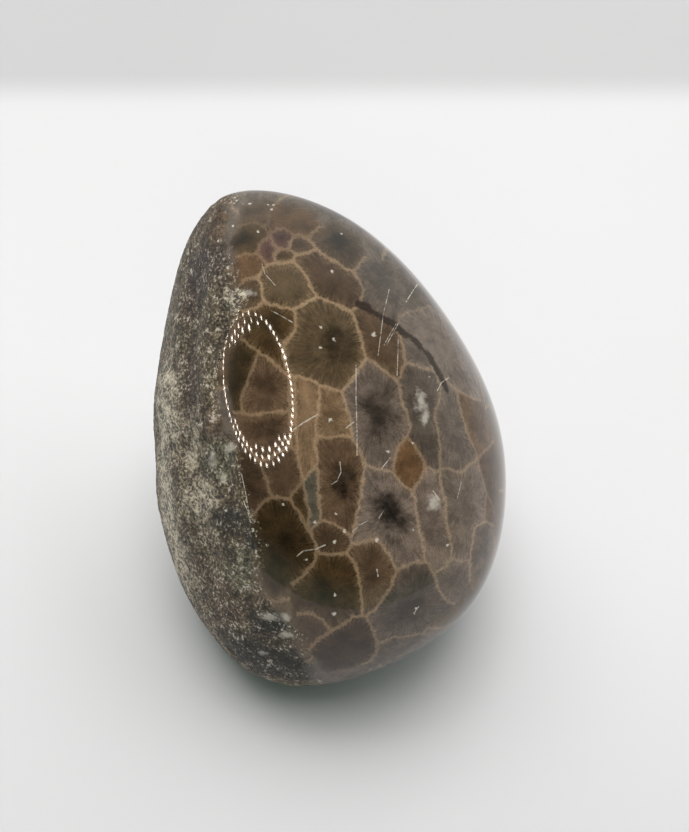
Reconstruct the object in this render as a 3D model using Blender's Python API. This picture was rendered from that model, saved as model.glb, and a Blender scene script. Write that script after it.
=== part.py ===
"""Petoskey stone: a wave-worn cobble of fossil coral, polished on one side.

The cobble is one solid. Its form is that of a block whose flat worn faces run
softly into each other. Each face is a plane at its own distance from the middle
of the stone, and WEAR says how far the edges between the faces are worn away.
The left side was never polished: it keeps low lumps, a long shallow valley, small
pits and the hollows where crystals broke out.

The stone stands on one small flat spot, with its narrow end up and leaning back.
+Z is up, -Y is where the polished dome faces, and +X is to the right of it.
Directions are an azimuth and an elevation in degrees, seen from the middle of the
stone: azimuth 0 is +Y, 90 is +X, 180 is -Y and -90 is -X. Lengths are in mm.
"""

import math
import random

import bmesh
import bpy
from mathutils import Vector

MM = 0.001
NODE = "petoskey_stone"

# The block: how high its middle stands and how soft its edges are
MIDDLE_HEIGHT = 26.0
WEAR = 7.0

# Its net: a cube of this many cells a side, blown up to the block's form. Points
# within this height of the flat spot are laid in it, so that no slivers ring it.
CELLS_PER_SIDE = 28
FLAT_SPOT_SNAP = 0.12
SHARP_ANGLE = 50.0

# Worn faces: azimuth, elevation, distance from the middle
FACES = {
    "polished crest": (-166, 56, 24.0),
    "crest low": (-162, 32, 25.5),
    "polished face": (158, 52, 22.5),
    "polished flank": (108, 38, 26.0),
    "polished low": (162, 22, 29.5),
    "polished top": (140, 78, 28.0),
    "rough shoulder": (-122, 36, 25.5),
    "rough low": (-148, 14, 30.5),
    "rough side": (-95, 10, 27.0),
    "right side": (95, 5, 29.0),
    "right top": (60, 20, 26.0),
    "tip right": (35, 35, 34.0),
    "tip": (-20, 40, 68.0),
    "tip left": (-60, 20, 41.0),
    "under rough": (-120, -20, 34.5),
    "front left corner": (-155, -38, 61.0),
    "front foot": (165, -38, 40.0),
    "front right foot": (140, -34, 36.5),
    "right foot": (110, -15, 34.5),
    "base": (0, -90, 28.5),
    "heel left": (-55, -35, 26.0),
    "heel right": (55, -35, 26.0),
    "heel": (0, -45, 28.0),
    "back": (-5, 0, 29.0),
}

# Lumps (+) and hollows (-) of the rough side: azimuth, elevation, half width, height
ROUGH_FORMS = {
    "side bulge": (-88, 6, 9.0, 0.8),
    "shoulder swelling": (-112, 43, 5.0, 0.4),
    "green crystal hollow": (-129, 31, 4.0, -0.6),
    "lower crystal hollow": (-168, -9, 3.5, -0.5),
    "upper crystal hollow": (-70, 60, 3.0, -0.4),
    "lower left hollow": (-138, -15, 8.0, -0.9),
    "low front lump": (-154, -28, 6.0, 0.5),
    "back lump": (-50, 8, 8.0, 0.7),
    "back hollow": (-60, 28, 6.0, -0.6),
}

# The long shallow valley down the rough side: its bends, half width and depth
VALLEY_BENDS = ((-48, 44), (-58, 46), (-90, 40), (-123, 17), (-139, -2))
VALLEY_HALF_WIDTH = 2.6
VALLEY_DEPTH = 0.9

# Small pits and knobs scattered over the rough side, up to this many degrees from its centre
ROUGH_CENTRE = (-98, 8)
ROUGH_REACH = 48.0
KNOB_COUNT = 90
KNOB_HALF_WIDTH = (2.2, 3.8)
KNOB_HEIGHT = (-0.45, 0.32)
KNOB_SEED = 11

STONE_COLOUR = (0.095, 0.066, 0.043, 1.0)
STONE_ROUGHNESS = 0.25
STONE_METALLIC = 0.0


def direction(azimuth, elevation):
    """Unit vector that points to an azimuth and an elevation."""
    turn = math.radians(azimuth)
    rise = math.radians(elevation)
    return Vector((math.cos(rise) * math.sin(turn), math.cos(rise) * math.cos(turn), math.sin(rise)))


def scattered_knobs():
    """Small pits and knobs at random places on the rough side: centre, half width, height."""
    draw = random.Random(KNOB_SEED)
    middle = direction(*ROUGH_CENTRE)
    across = middle.orthogonal().normalized()
    along = middle.cross(across)
    knobs = []
    for _ in range(KNOB_COUNT):
        away = math.radians(ROUGH_REACH) * math.sqrt(draw.random())
        turn = draw.uniform(0.0, 2.0 * math.pi)
        side = across * math.cos(turn) + along * math.sin(turn)
        centre = middle * math.cos(away) + side * math.sin(away)
        knobs.append((centre, draw.uniform(*KNOB_HALF_WIDTH), draw.uniform(*KNOB_HEIGHT)))
    return knobs


def worn_radius(ray, planes):
    """Distance from the middle to the worn block's surface along a ray."""
    total = 0.0
    for normal, distance in planes:
        facing = normal.dot(ray)
        if facing > 0.0:
            total += (facing / distance) ** WEAR
    return total ** (-1.0 / WEAR)


def swell(away, half_width):
    """1 at a form's centre, falling softly to 0 about two half widths away."""
    return math.exp(-((away / half_width) ** 2))


def distance_to_valley(ray, bends):
    """How far a ray's tip is from the valley's line, both on the unit sphere."""
    nearest = math.inf
    for start, end in zip(bends, bends[1:]):
        run = end - start
        share = max(0.0, min(1.0, (ray - start).dot(run) / run.length_squared))
        nearest = min(nearest, (ray - start - run * share).length)
    return nearest


def surface_point(ray, planes, forms, bends):
    """The stone's surface along a ray, seen from its middle."""
    radius = worn_radius(ray, planes)
    rise = -VALLEY_DEPTH * swell(distance_to_valley(ray, bends) * radius, VALLEY_HALF_WIDTH)
    for centre, half_width, height in forms:
        rise += height * swell((ray - centre).length * radius, half_width)
    return ray * (radius + rise)


def blow_up_net(net):
    """Put a cube's net on the stone's surface, its middle at MIDDLE_HEIGHT."""
    planes = [(direction(turn, rise), distance) for turn, rise, distance in FACES.values()]
    forms = [(direction(turn, rise), width, height) for turn, rise, width, height in ROUGH_FORMS.values()]
    forms += scattered_knobs()
    bends = [direction(*bend) for bend in VALLEY_BENDS]
    eighth_turn = math.pi / 4.0
    for vert in net.verts:
        ray = Vector([math.tan(eighth_turn * part) for part in vert.co]).normalized()
        vert.co = surface_point(ray, planes, forms, bends)
        vert.co.z += MIDDLE_HEIGHT


def wear_flat_spot(net):
    """Take away what lies below z = 0 and close the stone with one flat face."""
    for vert in net.verts:
        if abs(vert.co.z) < FLAT_SPOT_SNAP:
            vert.co.z = 0.0
    everything = net.verts[:] + net.edges[:] + net.faces[:]
    bmesh.ops.bisect_plane(net, geom=everything, plane_co=(0, 0, 0), plane_no=(0, 0, 1), clear_inner=True)
    rim = [edge for edge in net.edges if edge.is_boundary]
    bmesh.ops.contextual_create(net, geom=rim)


def centre_over_origin(net):
    """Move the stone until the middle of its box stands over the origin."""
    for axis in (0, 1):
        places = [vert.co[axis] for vert in net.verts]
        middle = (min(places) + max(places)) / 2.0
        for vert in net.verts:
            vert.co[axis] -= middle


def stone_mesh():
    """The stone's closed mesh, in metres."""
    net = bmesh.new()
    bmesh.ops.create_cube(net, size=2.0)
    bmesh.ops.subdivide_edges(net, edges=net.edges[:], cuts=CELLS_PER_SIDE - 1, use_grid_fill=True)
    blow_up_net(net)
    wear_flat_spot(net)
    centre_over_origin(net)
    bmesh.ops.triangulate(net, faces=net.faces[:])
    bmesh.ops.recalc_face_normals(net, faces=net.faces[:])
    bmesh.ops.scale(net, vec=(MM, MM, MM), verts=net.verts[:])
    mesh = bpy.data.meshes.new(NODE)
    net.to_mesh(mesh)
    net.free()
    mesh.shade_smooth()
    mesh.set_sharp_from_angle(angle=math.radians(SHARP_ANGLE))
    return mesh


def stone_material():
    """Dark brown polished limestone."""
    material = bpy.data.materials.new("polished_coral_stone")
    material.use_nodes = True
    shader = material.node_tree.nodes["Principled BSDF"]
    shader.inputs["Base Color"].default_value = STONE_COLOUR
    shader.inputs["Roughness"].default_value = STONE_ROUGHNESS
    shader.inputs["Metallic"].default_value = STONE_METALLIC
    return material


def build():
    """Clear the scene and put the stone in it."""
    for old in list(bpy.data.objects):
        bpy.data.objects.remove(old, do_unlink=True)
    stone = bpy.data.objects.new(NODE, stone_mesh())
    stone.data.materials.append(stone_material())
    bpy.context.scene.collection.objects.link(stone)


build()
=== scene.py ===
"""Petoskey stone, dressed: a wave-worn cobble of fossil coral, polished on one side.

Geometry Nodes blow a fine net up to the worn block's form and roughen the side that
was never polished. The coral's cells are drawn on it by a material. The walls between
them are written down as they are seen in the photograph, in its pixels, and are laid
on the stone along the camera's sight lines. Where the photograph doesn't see the
stone, cells of the same size are scattered from a fixed seed.

Directions are an azimuth and an elevation in degrees, seen from the middle of the
stone: azimuth 0 is +Y, 90 is +X, 180 is -Y and -90 is -X. Lengths are in mm, unless a
property's unit says otherwise.
"""

import math
import random

import bmesh
import bpy
import numpy as np
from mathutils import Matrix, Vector, noise
from mathutils.bvhtree import BVHTree


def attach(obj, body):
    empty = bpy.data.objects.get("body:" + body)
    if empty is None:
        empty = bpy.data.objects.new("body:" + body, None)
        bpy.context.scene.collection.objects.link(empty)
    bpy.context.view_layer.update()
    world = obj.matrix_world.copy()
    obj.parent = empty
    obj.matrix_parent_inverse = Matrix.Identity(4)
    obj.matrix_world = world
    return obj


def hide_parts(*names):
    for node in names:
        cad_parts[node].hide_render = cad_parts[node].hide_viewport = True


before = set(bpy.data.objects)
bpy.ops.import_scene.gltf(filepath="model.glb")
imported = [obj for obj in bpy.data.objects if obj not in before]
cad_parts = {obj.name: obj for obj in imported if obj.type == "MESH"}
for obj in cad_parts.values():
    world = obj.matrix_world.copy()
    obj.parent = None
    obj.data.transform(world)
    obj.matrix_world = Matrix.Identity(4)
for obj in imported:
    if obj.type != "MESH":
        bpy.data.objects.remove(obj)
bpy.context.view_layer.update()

bl_info = {
    "name": "Petoskey stone",
    "version": (1, 0, 0),
    "blender": (4, 5, 0),
    "location": "3D View > Sidebar > Petoskey stone",
    "description": "Makes a polished cobble of fossil coral and the studio it stands in",
    "category": "Object",
}

MM = 0.001
NODE = "petoskey_stone"
STONE = "cobble"

# The photograph's frame, in pixels, and the camera that saw it
PHOTO_WIDTH = 689
PHOTO_HEIGHT = 832
FOCAL_PIXELS = 1143.0
SENSOR_SIZE = 36.0
CAMERA_RISE = 52.0
CAMERA_DISTANCE = 178.0
CAMERA_TARGET = Vector((2.39, 6.73, 26.0))

# The worn block: where its middle stands, how far its edges are worn away, and how many
# faces a side has on the cube whose net is blown up to it
MIDDLE = Vector((0.35, 2.0, 26.0))
WEAR = 7.0
FACES_PER_SIDE = 126

# Worn faces: azimuth, elevation, distance from the middle
FACES = {
    "polished crest": (-166, 56, 24.0),
    "crest low": (-162, 32, 25.5),
    "polished face": (158, 52, 22.5),
    "polished flank": (108, 38, 26.0),
    "polished low": (162, 22, 29.5),
    "polished top": (140, 78, 28.0),
    "rough shoulder": (-122, 36, 25.5),
    "rough low": (-148, 14, 30.5),
    "rough side": (-95, 10, 27.0),
    "right side": (95, 5, 29.0),
    "right top": (60, 20, 26.0),
    "tip right": (35, 35, 34.0),
    "tip": (-20, 40, 68.0),
    "tip left": (-60, 20, 41.0),
    "under rough": (-120, -20, 34.5),
    "front left corner": (-155, -38, 61.0),
    "front foot": (165, -38, 40.0),
    "front right foot": (140, -34, 36.5),
    "right foot": (110, -15, 34.5),
    "base": (0, -90, 28.5),
    "heel left": (-55, -35, 26.0),
    "heel right": (55, -35, 26.0),
    "heel": (0, -45, 28.0),
    "back": (-5, 0, 29.0),
}

# Lumps (+) and hollows (-) of the rough side: azimuth, elevation, half width, height
ROUGH_FORMS = {
    "side bulge": (-88, 6, 9.0, 0.8),
    "shoulder swelling": (-112, 43, 5.0, 0.4),
    "green crystal hollow": (-129, 31, 4.0, -0.6),
    "lower crystal hollow": (-168, -9, 3.5, -0.5),
    "upper crystal hollow": (-70, 60, 3.0, -0.4),
    "lower left hollow": (-138, -15, 8.0, -0.9),
    "low front lump": (-154, -28, 6.0, 0.5),
    "back lump": (-50, 8, 8.0, 0.7),
    "back hollow": (-60, 28, 6.0, -0.6),
}

# The long shallow valley down the rough side: its bends, half width and depth
VALLEY_BENDS = ((-48, 44), (-58, 46), (-90, 40), (-123, 17), (-139, -2))
VALLEY_HALF_WIDTH = 2.6
VALLEY_DEPTH = 0.9

# Small pits and knobs scattered over the rough side, up to this many degrees from its
# centre, which is about this far from the block's middle
ROUGH_CENTRE = (-98, 8)
ROUGH_REACH = 48.0
ROUGH_RADIUS = 28.0
KNOB_COUNT = 90
KNOB_HALF_WIDTH = (2.2, 3.8)
KNOB_HEIGHT = (-0.45, 0.32)
KNOB_SEED = 11

# Edge of the rough side: pixels where the photograph sees it, directions where it doesn't
ROUGH_EDGE_SEEN = (
    (236, 198), (230, 216), (226, 235), (227, 248), (230, 262), (234, 280), (243, 290), (245, 300),
    (241, 312), (231, 335), (222, 352), (216, 378), (215, 400), (216, 412), (224, 430), (236, 445),
    (241, 470), (246, 500), (254, 527), (260, 545), (258, 560), (256, 580), (264, 598), (275, 605),
    (290, 612), (298, 630), (296, 645), (300, 655), (310, 665), (318, 680),
)
ROUGH_EDGE_UNSEEN = (
    (-168, -45), (-140, -62), (-100, -58), (-60, -50), (-35, -28), (-24, 0), (-22, 28),
)

# How far inside that edge, in mm, grain and pits start and are at full depth, and the lumps
GRAIN_FADE = (0.9, 2.2)
LUMP_FADE = (0.0, 3.0)

# Walls between the coral's cells, as seen in the photograph: the two cells and the wall's
# bends in pixels. "edge" is the edge of the part that the photograph shows well.
WALLS = (
    ("round", "small left", ((258, 278), (262, 290), (264, 303))),
    ("round", "wedge", ((264, 303), (278, 306), (294, 309))),
    ("round", "great rayed", ((294, 309), (302, 305), (310, 300), (317, 297))),
    ("round", "big brown", ((317, 297), (312, 288), (307, 278), (301, 270), (293, 261))),
    ("round", "chip", ((293, 261), (283, 263), (276, 263))),
    ("round", "crimson", ((276, 263), (268, 265))),
    ("round", "amber patch", ((268, 265), (262, 271), (258, 278))),
    ("small left", "amber patch", ((258, 278), (250, 279), (241, 283))),
    ("small left", "edge", ((241, 283), (238, 297), (243, 313))),
    ("small left", "wedge", ((243, 313), (255, 309), (264, 303))),
    ("amber patch", "crimson", ((268, 265), (262, 258), (256, 253))),
    ("amber patch", "upper dark", ((256, 253), (245, 254), (234, 258))),
    ("amber patch", "edge", ((234, 258), (235, 270), (241, 283))),
    ("crimson", "chip", ((276, 263), (274, 255), (278, 249))),
    ("crimson", "plum", ((278, 249), (273, 243), (270, 235))),
    ("crimson", "upper dark", ((270, 235), (261, 243), (256, 253))),
    ("chip", "plum", ((278, 249), (288, 250))),
    ("chip", "lens", ((288, 250), (296, 254))),
    ("chip", "big brown", ((296, 254), (293, 261))),
    ("plum", "lens", ((288, 250), (290, 242), (294, 236))),
    ("plum", "top tan", ((294, 236), (284, 229), (276, 229), (270, 235))),
    ("lens", "top tan", ((294, 236), (302, 236), (308, 239))),
    ("lens", "rim slate", ((308, 239), (313, 244), (316, 249))),
    ("lens", "big brown", ((316, 249), (308, 253), (296, 254))),
    ("big brown", "rim slate", ((316, 249), (325, 256), (335, 262), (345, 269), (354, 272))),
    ("big brown", "rim grey", ((354, 272), (360, 281), (363, 291), (361, 300), (358, 305))),
    ("big brown", "seam brown", ((358, 305), (352, 312))),
    ("big brown", "great rayed", ((352, 312), (341, 307), (332, 303), (323, 299), (317, 297))),
    ("rim slate", "top tan", ((308, 239), (314, 232), (320, 226))),
    ("rim slate", "rim grey", ((354, 272), (359, 266), (366, 256))),
    ("rim slate", "edge", ((320, 226), (332, 222), (346, 229), (358, 240), (366, 256))),
    ("top tan", "edge", ((320, 226), (316, 213), (298, 205), (280, 201))),
    ("top tan", "top left", ((280, 201), (268, 215), (270, 235))),
    ("top left", "upper dark", ((270, 235), (264, 226), (252, 222), (237, 228))),
    ("top left", "edge", ((237, 228), (240, 210), (257, 199), (280, 201))),
    ("upper dark", "edge", ((234, 258), (230, 242), (237, 228))),
    ("wedge", "great rayed", (
        (294, 309), (296, 318), (296, 328), (291, 336), (284, 343), (283, 355), (285, 366), (289, 374),
    )),
    ("wedge", "ring brown", ((289, 374), (282, 370), (275, 364), (267, 358), (258, 352))),
    ("wedge", "ring left", ((258, 352), (249, 345), (240, 338))),
    ("wedge", "edge", ((240, 338), (241, 325), (243, 313))),
    ("ring brown", "streak left", ((289, 374), (289, 392), (290, 411))),
    ("ring brown", "ring low", ((290, 411), (280, 412), (265, 413), (252, 415), (241, 412))),
    ("ring brown", "ring left", ((241, 412), (241, 400), (246, 385), (252, 370), (258, 352))),
    ("ring left", "edge", ((240, 338), (231, 352), (228, 372), (229, 395), (233, 412))),
    ("ring left", "ring low", ((233, 412), (241, 412))),
    ("ring low", "streak left", ((290, 411), (291, 430), (290, 446))),
    ("ring low", "below ring", ((290, 446), (278, 452), (268, 459), (260, 462))),
    ("ring low", "left brown", ((260, 462), (250, 450), (240, 436))),
    ("ring low", "edge", ((240, 436), (234, 424), (233, 412))),
    ("left brown", "below ring", ((260, 462), (264.7, 475), (268, 485), (272, 497))),
    ("left brown", "great dark", ((272, 497), (265, 501), (259, 507), (254, 513))),
    ("left brown", "edge", ((254, 513), (243, 500), (240, 480), (238, 458), (240, 436))),
    ("below ring", "streak left", ((290, 446), (297, 452))),
    ("below ring", "streak one", ((297, 452), (299, 464), (303, 481))),
    ("below ring", "dark wedge", ((303, 481), (297, 488), (290, 499))),
    ("below ring", "great dark", ((290, 499), (281, 498), (272, 497))),
    ("dark wedge", "great dark", ((290, 499), (297, 510), (302, 518), (307, 527))),
    ("dark wedge", "teal", ((303, 481), (305, 495), (308, 505), (310, 516), (307, 527))),
    ("teal", "streak one", ((303, 481), (309, 474), (317, 466))),
    ("teal", "tall dark", ((317, 466), (318, 478), (318.5, 490), (319.5, 505), (321, 522))),
    ("teal", "dome", ((321, 522), (314, 526), (309, 531))),
    ("teal", "great dark", ((307, 527), (309, 531))),
    ("streak left", "great rayed", ((289, 374), (294, 376))),
    ("streak left", "streak one", (
        (294, 376), (295, 387), (295.5, 402), (295, 414), (295.6, 426), (296, 438), (297, 452),
    )),
    ("streak one", "great rayed", ((294, 376), (305, 378), (315, 382), (320, 385))),
    ("streak one", "streak two", ((320, 385), (319.5, 400), (318, 412), (316.6, 423), (316, 436))),
    ("streak one", "tall dark", ((316, 436), (316, 443), (316.6, 455), (317, 466))),
    ("streak two", "great rayed", ((320, 385), (335, 390), (342, 392))),
    ("streak two", "dark rayed", ((342, 392), (344.5, 402), (347.5, 411), (350.5, 421), (352, 438))),
    ("streak two", "tall dark", ((352, 438), (346, 436), (336, 436), (326, 438), (316, 436))),
    ("tall dark", "dark rayed", ((352, 438), (357, 445), (361, 453), (364, 463))),
    ("tall dark", "lower dark", (
        (364, 463), (363, 478), (361.5, 490), (360, 500), (358, 512), (355, 524), (351, 537),
    )),
    ("tall dark", "dome", ((351, 537), (346, 532), (340, 528), (334, 524), (327, 521.5), (321, 522))),
    ("dome", "lower dark", ((351, 537), (351, 543))),
    ("dome", "brown shield", ((351, 543), (349, 548), (347, 553))),
    ("dome", "great dark", ((309, 531), (312, 537), (315, 543), (317, 549))),
    ("dome", "low dark", ((317, 549), (321, 553.5), (331, 554.5), (340, 554), (347, 553))),
    ("great dark", "low dark", (
        (317, 549), (316, 556), (314, 563), (309, 568), (304, 574), (298, 579), (293, 584),
    )),
    ("great dark", "edge", (
        (293, 584), (287, 589), (280, 593), (273, 595), (262, 580), (258, 560), (254, 540), (252, 525),
        (254, 513),
    )),
    ("low dark", "brown shield", (
        (347, 553), (351, 558), (355, 564), (358, 574), (360, 584), (361.4, 594), (362, 604),
        (362, 615),
    )),
    ("low dark", "low pale", ((362, 615), (353, 617), (346, 622), (338, 627), (331, 631))),
    ("low dark", "strip", ((331, 631), (323, 620), (312, 612), (304, 612), (297, 613))),
    ("low dark", "edge", ((297, 613), (292, 605), (290, 597), (293, 584))),
    ("strip", "low pale", ((331, 631), (323.8, 636), (316, 640), (309, 651))),
    ("strip", "edge", ((297, 613), (298, 628), (303, 640), (309, 651))),
    ("low pale", "brown shield", ((362, 615), (366, 617))),
    ("low pale", "low right", ((366, 617), (370, 624), (374, 631), (376, 637), (377, 644))),
    ("low pale", "low rim", ((377, 644), (376, 652), (371, 660), (360, 665))),
    ("low pale", "edge", (
        (360, 665), (346, 669), (333, 671), (322, 672), (318, 661), (314, 656), (309, 651),
    )),
    ("brown shield", "lower dark", (
        (351, 543), (358, 543.5), (366, 542), (377, 539), (383, 546), (388, 553), (393, 562),
        (397, 570),
    )),
    ("brown shield", "low right", (
        (397, 570), (395, 576), (391.6, 585), (385.5, 595), (379, 604), (374, 611), (366, 617),
    )),
    ("lower dark", "dark rayed", ((364, 463), (372, 468), (381, 469), (389, 471), (394, 473))),
    ("lower dark", "orange lens", ((394, 473), (398, 479), (404, 485), (412, 491.5))),
    ("lower dark", "flank spot", (
        (412, 491.5), (415, 499), (416.4, 512), (418, 522), (420, 531), (422, 542), (424, 551),
        (425, 561),
    )),
    ("lower dark", "low right", ((425, 561), (415, 562.5), (409, 565), (403, 567.5), (397, 570))),
    ("orange lens", "dark rayed", (
        (394, 473), (394, 466), (395, 459), (397, 451), (400, 445), (407, 437),
    )),
    ("orange lens", "white spot", ((407, 437), (414.7, 445), (418, 452), (422, 458), (426, 466))),
    ("orange lens", "flank spot", ((426, 466), (423, 474), (419, 481), (412, 491.5))),
    ("dark rayed", "seam brown", ((366, 358), (375, 364), (383, 370), (392, 377), (398, 381))),
    ("dark rayed", "white spot", (
        (398, 381), (399, 388), (400.5, 396), (403, 405), (407, 414), (409.5, 424), (409.5, 431),
        (407, 437),
    )),
    ("dark rayed", "great rayed", ((366, 358), (360, 368), (352, 380), (342, 392))),
    ("seam brown", "great rayed", ((352, 312), (356, 322), (360, 335), (363, 347), (366, 358))),
    ("seam brown", "rim grey", ((358, 305), (366, 307), (375, 312), (385, 319), (396, 326))),
    ("seam brown", "right grey", ((396, 326), (400, 336), (402, 345), (404, 356), (406, 363))),
    ("seam brown", "white spot", ((406, 363), (402, 372), (398, 381))),
    ("white spot", "right grey", ((406, 363), (413, 365), (421, 367.5), (434, 371))),
    ("white spot", "flank grey", (
        (434, 371), (441, 387), (440, 395), (438.6, 402), (435, 413), (435, 420), (437, 427.5),
        (438.5, 437), (440, 447), (440, 470),
    )),
    ("white spot", "flank spot", ((426, 466), (431, 469), (436, 472), (440, 470))),
    ("right grey", "rim right", (
        (396, 326), (403, 332), (411, 338), (420, 346), (428, 356), (434, 371),
    )),
    ("rim grey", "rim right", ((396, 326), (400, 317), (408, 312), (420, 310), (432, 306))),
    ("rim grey", "edge", ((366, 256), (380, 259), (396, 271), (410, 284), (422, 296), (432, 306))),
    ("rim right", "edge", ((432, 306), (444, 320), (456, 335), (466, 352), (474, 368), (481, 401))),
    ("rim right", "flank grey", ((434, 371), (445, 380), (457, 391))),
    ("rim right", "flank rim", ((457, 391), (467, 395), (473, 398), (481, 401))),
    ("flank grey", "flank rim", (
        (457, 391), (459, 406), (462.5, 418), (466, 430), (469.5, 439), (473, 445), (478, 458),
    )),
    ("flank grey", "flank low", (
        (478, 458), (472, 462.5), (466, 467), (461, 472), (454, 471), (447, 468), (440, 470),
    )),
    ("flank rim", "edge", ((481, 401), (487, 412), (491, 425), (494, 440))),
    ("flank rim", "flank edge", ((494, 440), (487, 448.5), (482, 453), (478, 458))),
    ("flank edge", "flank low", ((478, 458), (479, 466), (481, 474), (484, 486), (486, 493))),
    ("flank edge", "flank sliver", ((486, 493), (490.5, 502), (494, 512))),
    ("flank edge", "edge", ((494, 512), (498, 495), (499, 475), (497, 455), (494, 440))),
    ("flank sliver", "flank low", ((486, 493), (484.7, 503), (484, 521))),
    ("flank sliver", "oval", ((484, 521), (489, 522), (494, 527))),
    ("flank sliver", "edge", ((494, 512), (496, 520), (494, 527))),
    ("flank low", "flank spot", (
        (440, 470), (440, 480), (442.7, 490.5), (445, 499), (446, 512), (446, 523), (449, 532),
        (451, 545), (451, 559),
    )),
    ("flank low", "oval", ((484, 521), (478, 524), (474, 530), (473, 538), (471, 548), (469.5, 559))),
    ("flank low", "flank brown", ((469.5, 559), (460, 561), (451, 559))),
    ("flank spot", "low right", ((425, 561), (429, 565), (434, 573))),
    ("flank spot", "flank brown", ((434, 573), (443, 568), (451, 559))),
    ("flank brown", "oval", ((469.5, 559), (469, 570), (470, 582))),
    ("flank brown", "edge", ((470, 582), (465, 594), (455, 604))),
    ("flank brown", "low right", ((455, 604), (444, 598), (438, 588), (434, 573))),
    ("oval", "edge", ((494, 527), (494, 540), (489, 553), (482, 565), (476, 575), (470, 582))),
    ("low right", "low rim", (
        (377, 644), (385, 641), (392, 637), (400, 637), (408, 636), (415, 634), (423, 633), (430, 625),
    )),
    ("low right", "edge", ((430, 625), (439, 617), (447, 611), (455, 604))),
    ("low rim", "edge", (
        (430, 625), (425, 636), (411, 646), (396, 656), (380, 664), (366, 668), (360, 665),
    )),
)

# Two wall pieces whose planes have this cosine or more between them run alike
ALIKE = 0.8

# Cells that the photograph shows: middle of the core in pixels, tint, how light the tint is,
# how dark the core is (a negative one is pale), and how clear the walls are
CELLS = {
    "round": (286, 285, "olive", 1.0, -0.2, 1.0),
    "small left": (251, 292, "walnut", 1.0, 0.1, 0.9),
    "amber patch": (248, 266, "amber", 0.8, 0.1, 0.5),
    "upper dark": (240, 240, "umber", 1.2, 0.6, 0.3),
    "crimson": (268, 252, "plum", 0.9, 0.2, 0.5),
    "chip": (284, 256, "umber", 1.4, 0.2, 0.7),
    "plum": (281, 237, "plum", 0.7, 0.4, 0.4),
    "lens": (302, 245, "walnut", 0.8, 0.3, 0.7),
    "big brown": (334, 278, "walnut", 0.9, 0.1, 0.8),
    "rim slate": (340, 242, "walnut", 0.75, 0.8, 0.6),
    "top tan": (298, 218, "amber", 0.5, 0.0, 0.15),
    "top left": (256, 211, "russet", 0.7, 0.1, 0.1),
    "wedge": (273, 326, "umber", 1.5, 0.4, 0.8),
    "great rayed": (335, 345, "olive", 0.95, 0.6, 1.0),
    "seam brown": (382, 342, "walnut", 1.0, 0.1, 0.6),
    "rim grey": (388, 285, "slate", 0.9, 0.3, 0.2),
    "right grey": (413, 352, "slate", 1.2, 0.2, 0.5),
    "rim right": (440, 345, "slate", 1.3, 0.0, 0.3),
    "dark rayed": (377, 412, "slate", 1.2, 0.8, 0.6),
    "white spot": (421, 408, "slate", 0.8, 0.1, 0.5),
    "orange lens": (409, 463, "amber", 0.8, 0.1, 0.5),
    "ring brown": (265, 388, "walnut", 1.3, 0.4, 0.6),
    "ring left": (236, 378, "umber", 0.9, 0.3, 0.4),
    "ring low": (266, 432, "walnut", 1.3, 0.5, 0.6),
    "left brown": (251, 485, "walnut", 0.7, 0.2, 0.4),
    "below ring": (280, 477, "walnut", 0.9, 0.1, 0.6),
    "great dark": (284, 545, "umber", 0.9, 0.6, 0.7),
    "dark wedge": (298, 503, "umber", 1.2, 0.2, 0.6),
    "teal": (311, 500, "teal", 0.8, 0.0, 0.6),
    "streak left": (292, 412, "tan", 0.9, 0.0, 0.5),
    "streak one": (306, 400, "tan", 1.1, -0.4, 0.6),
    "streak two": (331, 425, "tan", 1.1, 0.2, 0.6),
    "tall dark": (343, 485, "walnut", 1.2, 1.0, 0.7),
    "dome": (330, 540, "walnut", 0.8, 0.4, 0.8),
    "low dark": (326, 590, "umber", 1.2, 0.5, 0.8),
    "strip": (314, 628, "walnut", 0.8, 0.1, 0.5),
    "brown shield": (372, 572, "russet", 0.85, 0.3, 0.8),
    "low pale": (345, 648, "walnut", 0.5, 0.2, 0.6),
    "lower dark": (390, 511, "slate", 1.5, 1.0, 0.6),
    "low right": (408, 605, "slate", 0.8, 0.4, 0.5),
    "low rim": (402, 650, "slate", 0.9, 0.0, 0.4),
    "flank grey": (451, 425, "slate", 1.15, 0.2, 0.4),
    "flank rim": (478, 425, "walnut", 1.3, 0.2, 0.4),
    "flank edge": (490, 470, "walnut", 0.9, 0.2, 0.3),
    "flank low": (464, 505, "slate", 1.4, 0.2, 0.4),
    "flank sliver": (489, 510, "walnut", 1.1, 0.0, 0.3),
    "flank spot": (431, 525, "slate", 1.6, 0.2, 0.5),
    "flank brown": (455, 580, "slate", 1.3, 0.2, 0.4),
    "oval": (482, 545, "slate", 1.1, 0.3, 0.6),
}

# The least half size of a cell, in mm, the share of its places that lie within its half
# size, in percent, and how far apart two cells' rays lie in their noise
LEAST_CELL_HALF = 0.8
WITHIN_CELL_HALF = 96
RAYS_APART = 7.3

# The dark seam, partly its own colour and partly painted shade of the shallow groove along it: bends in
# pixels and half width in mm
SHADED_SEAM = (
    (358, 305), (365, 307), (374, 312), (385, 319), (396, 326), (403, 332), (411, 338), (420, 346),
    (428, 356), (435, 367), (441, 378), (447, 391),
)
SHADED_SEAM_HALF_WIDTH = 0.54

# Lines are worked out up to this many half widths away, and at least this many mm
LINE_REACH = 1.5
LEAST_LINE_REACH = 0.30

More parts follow.
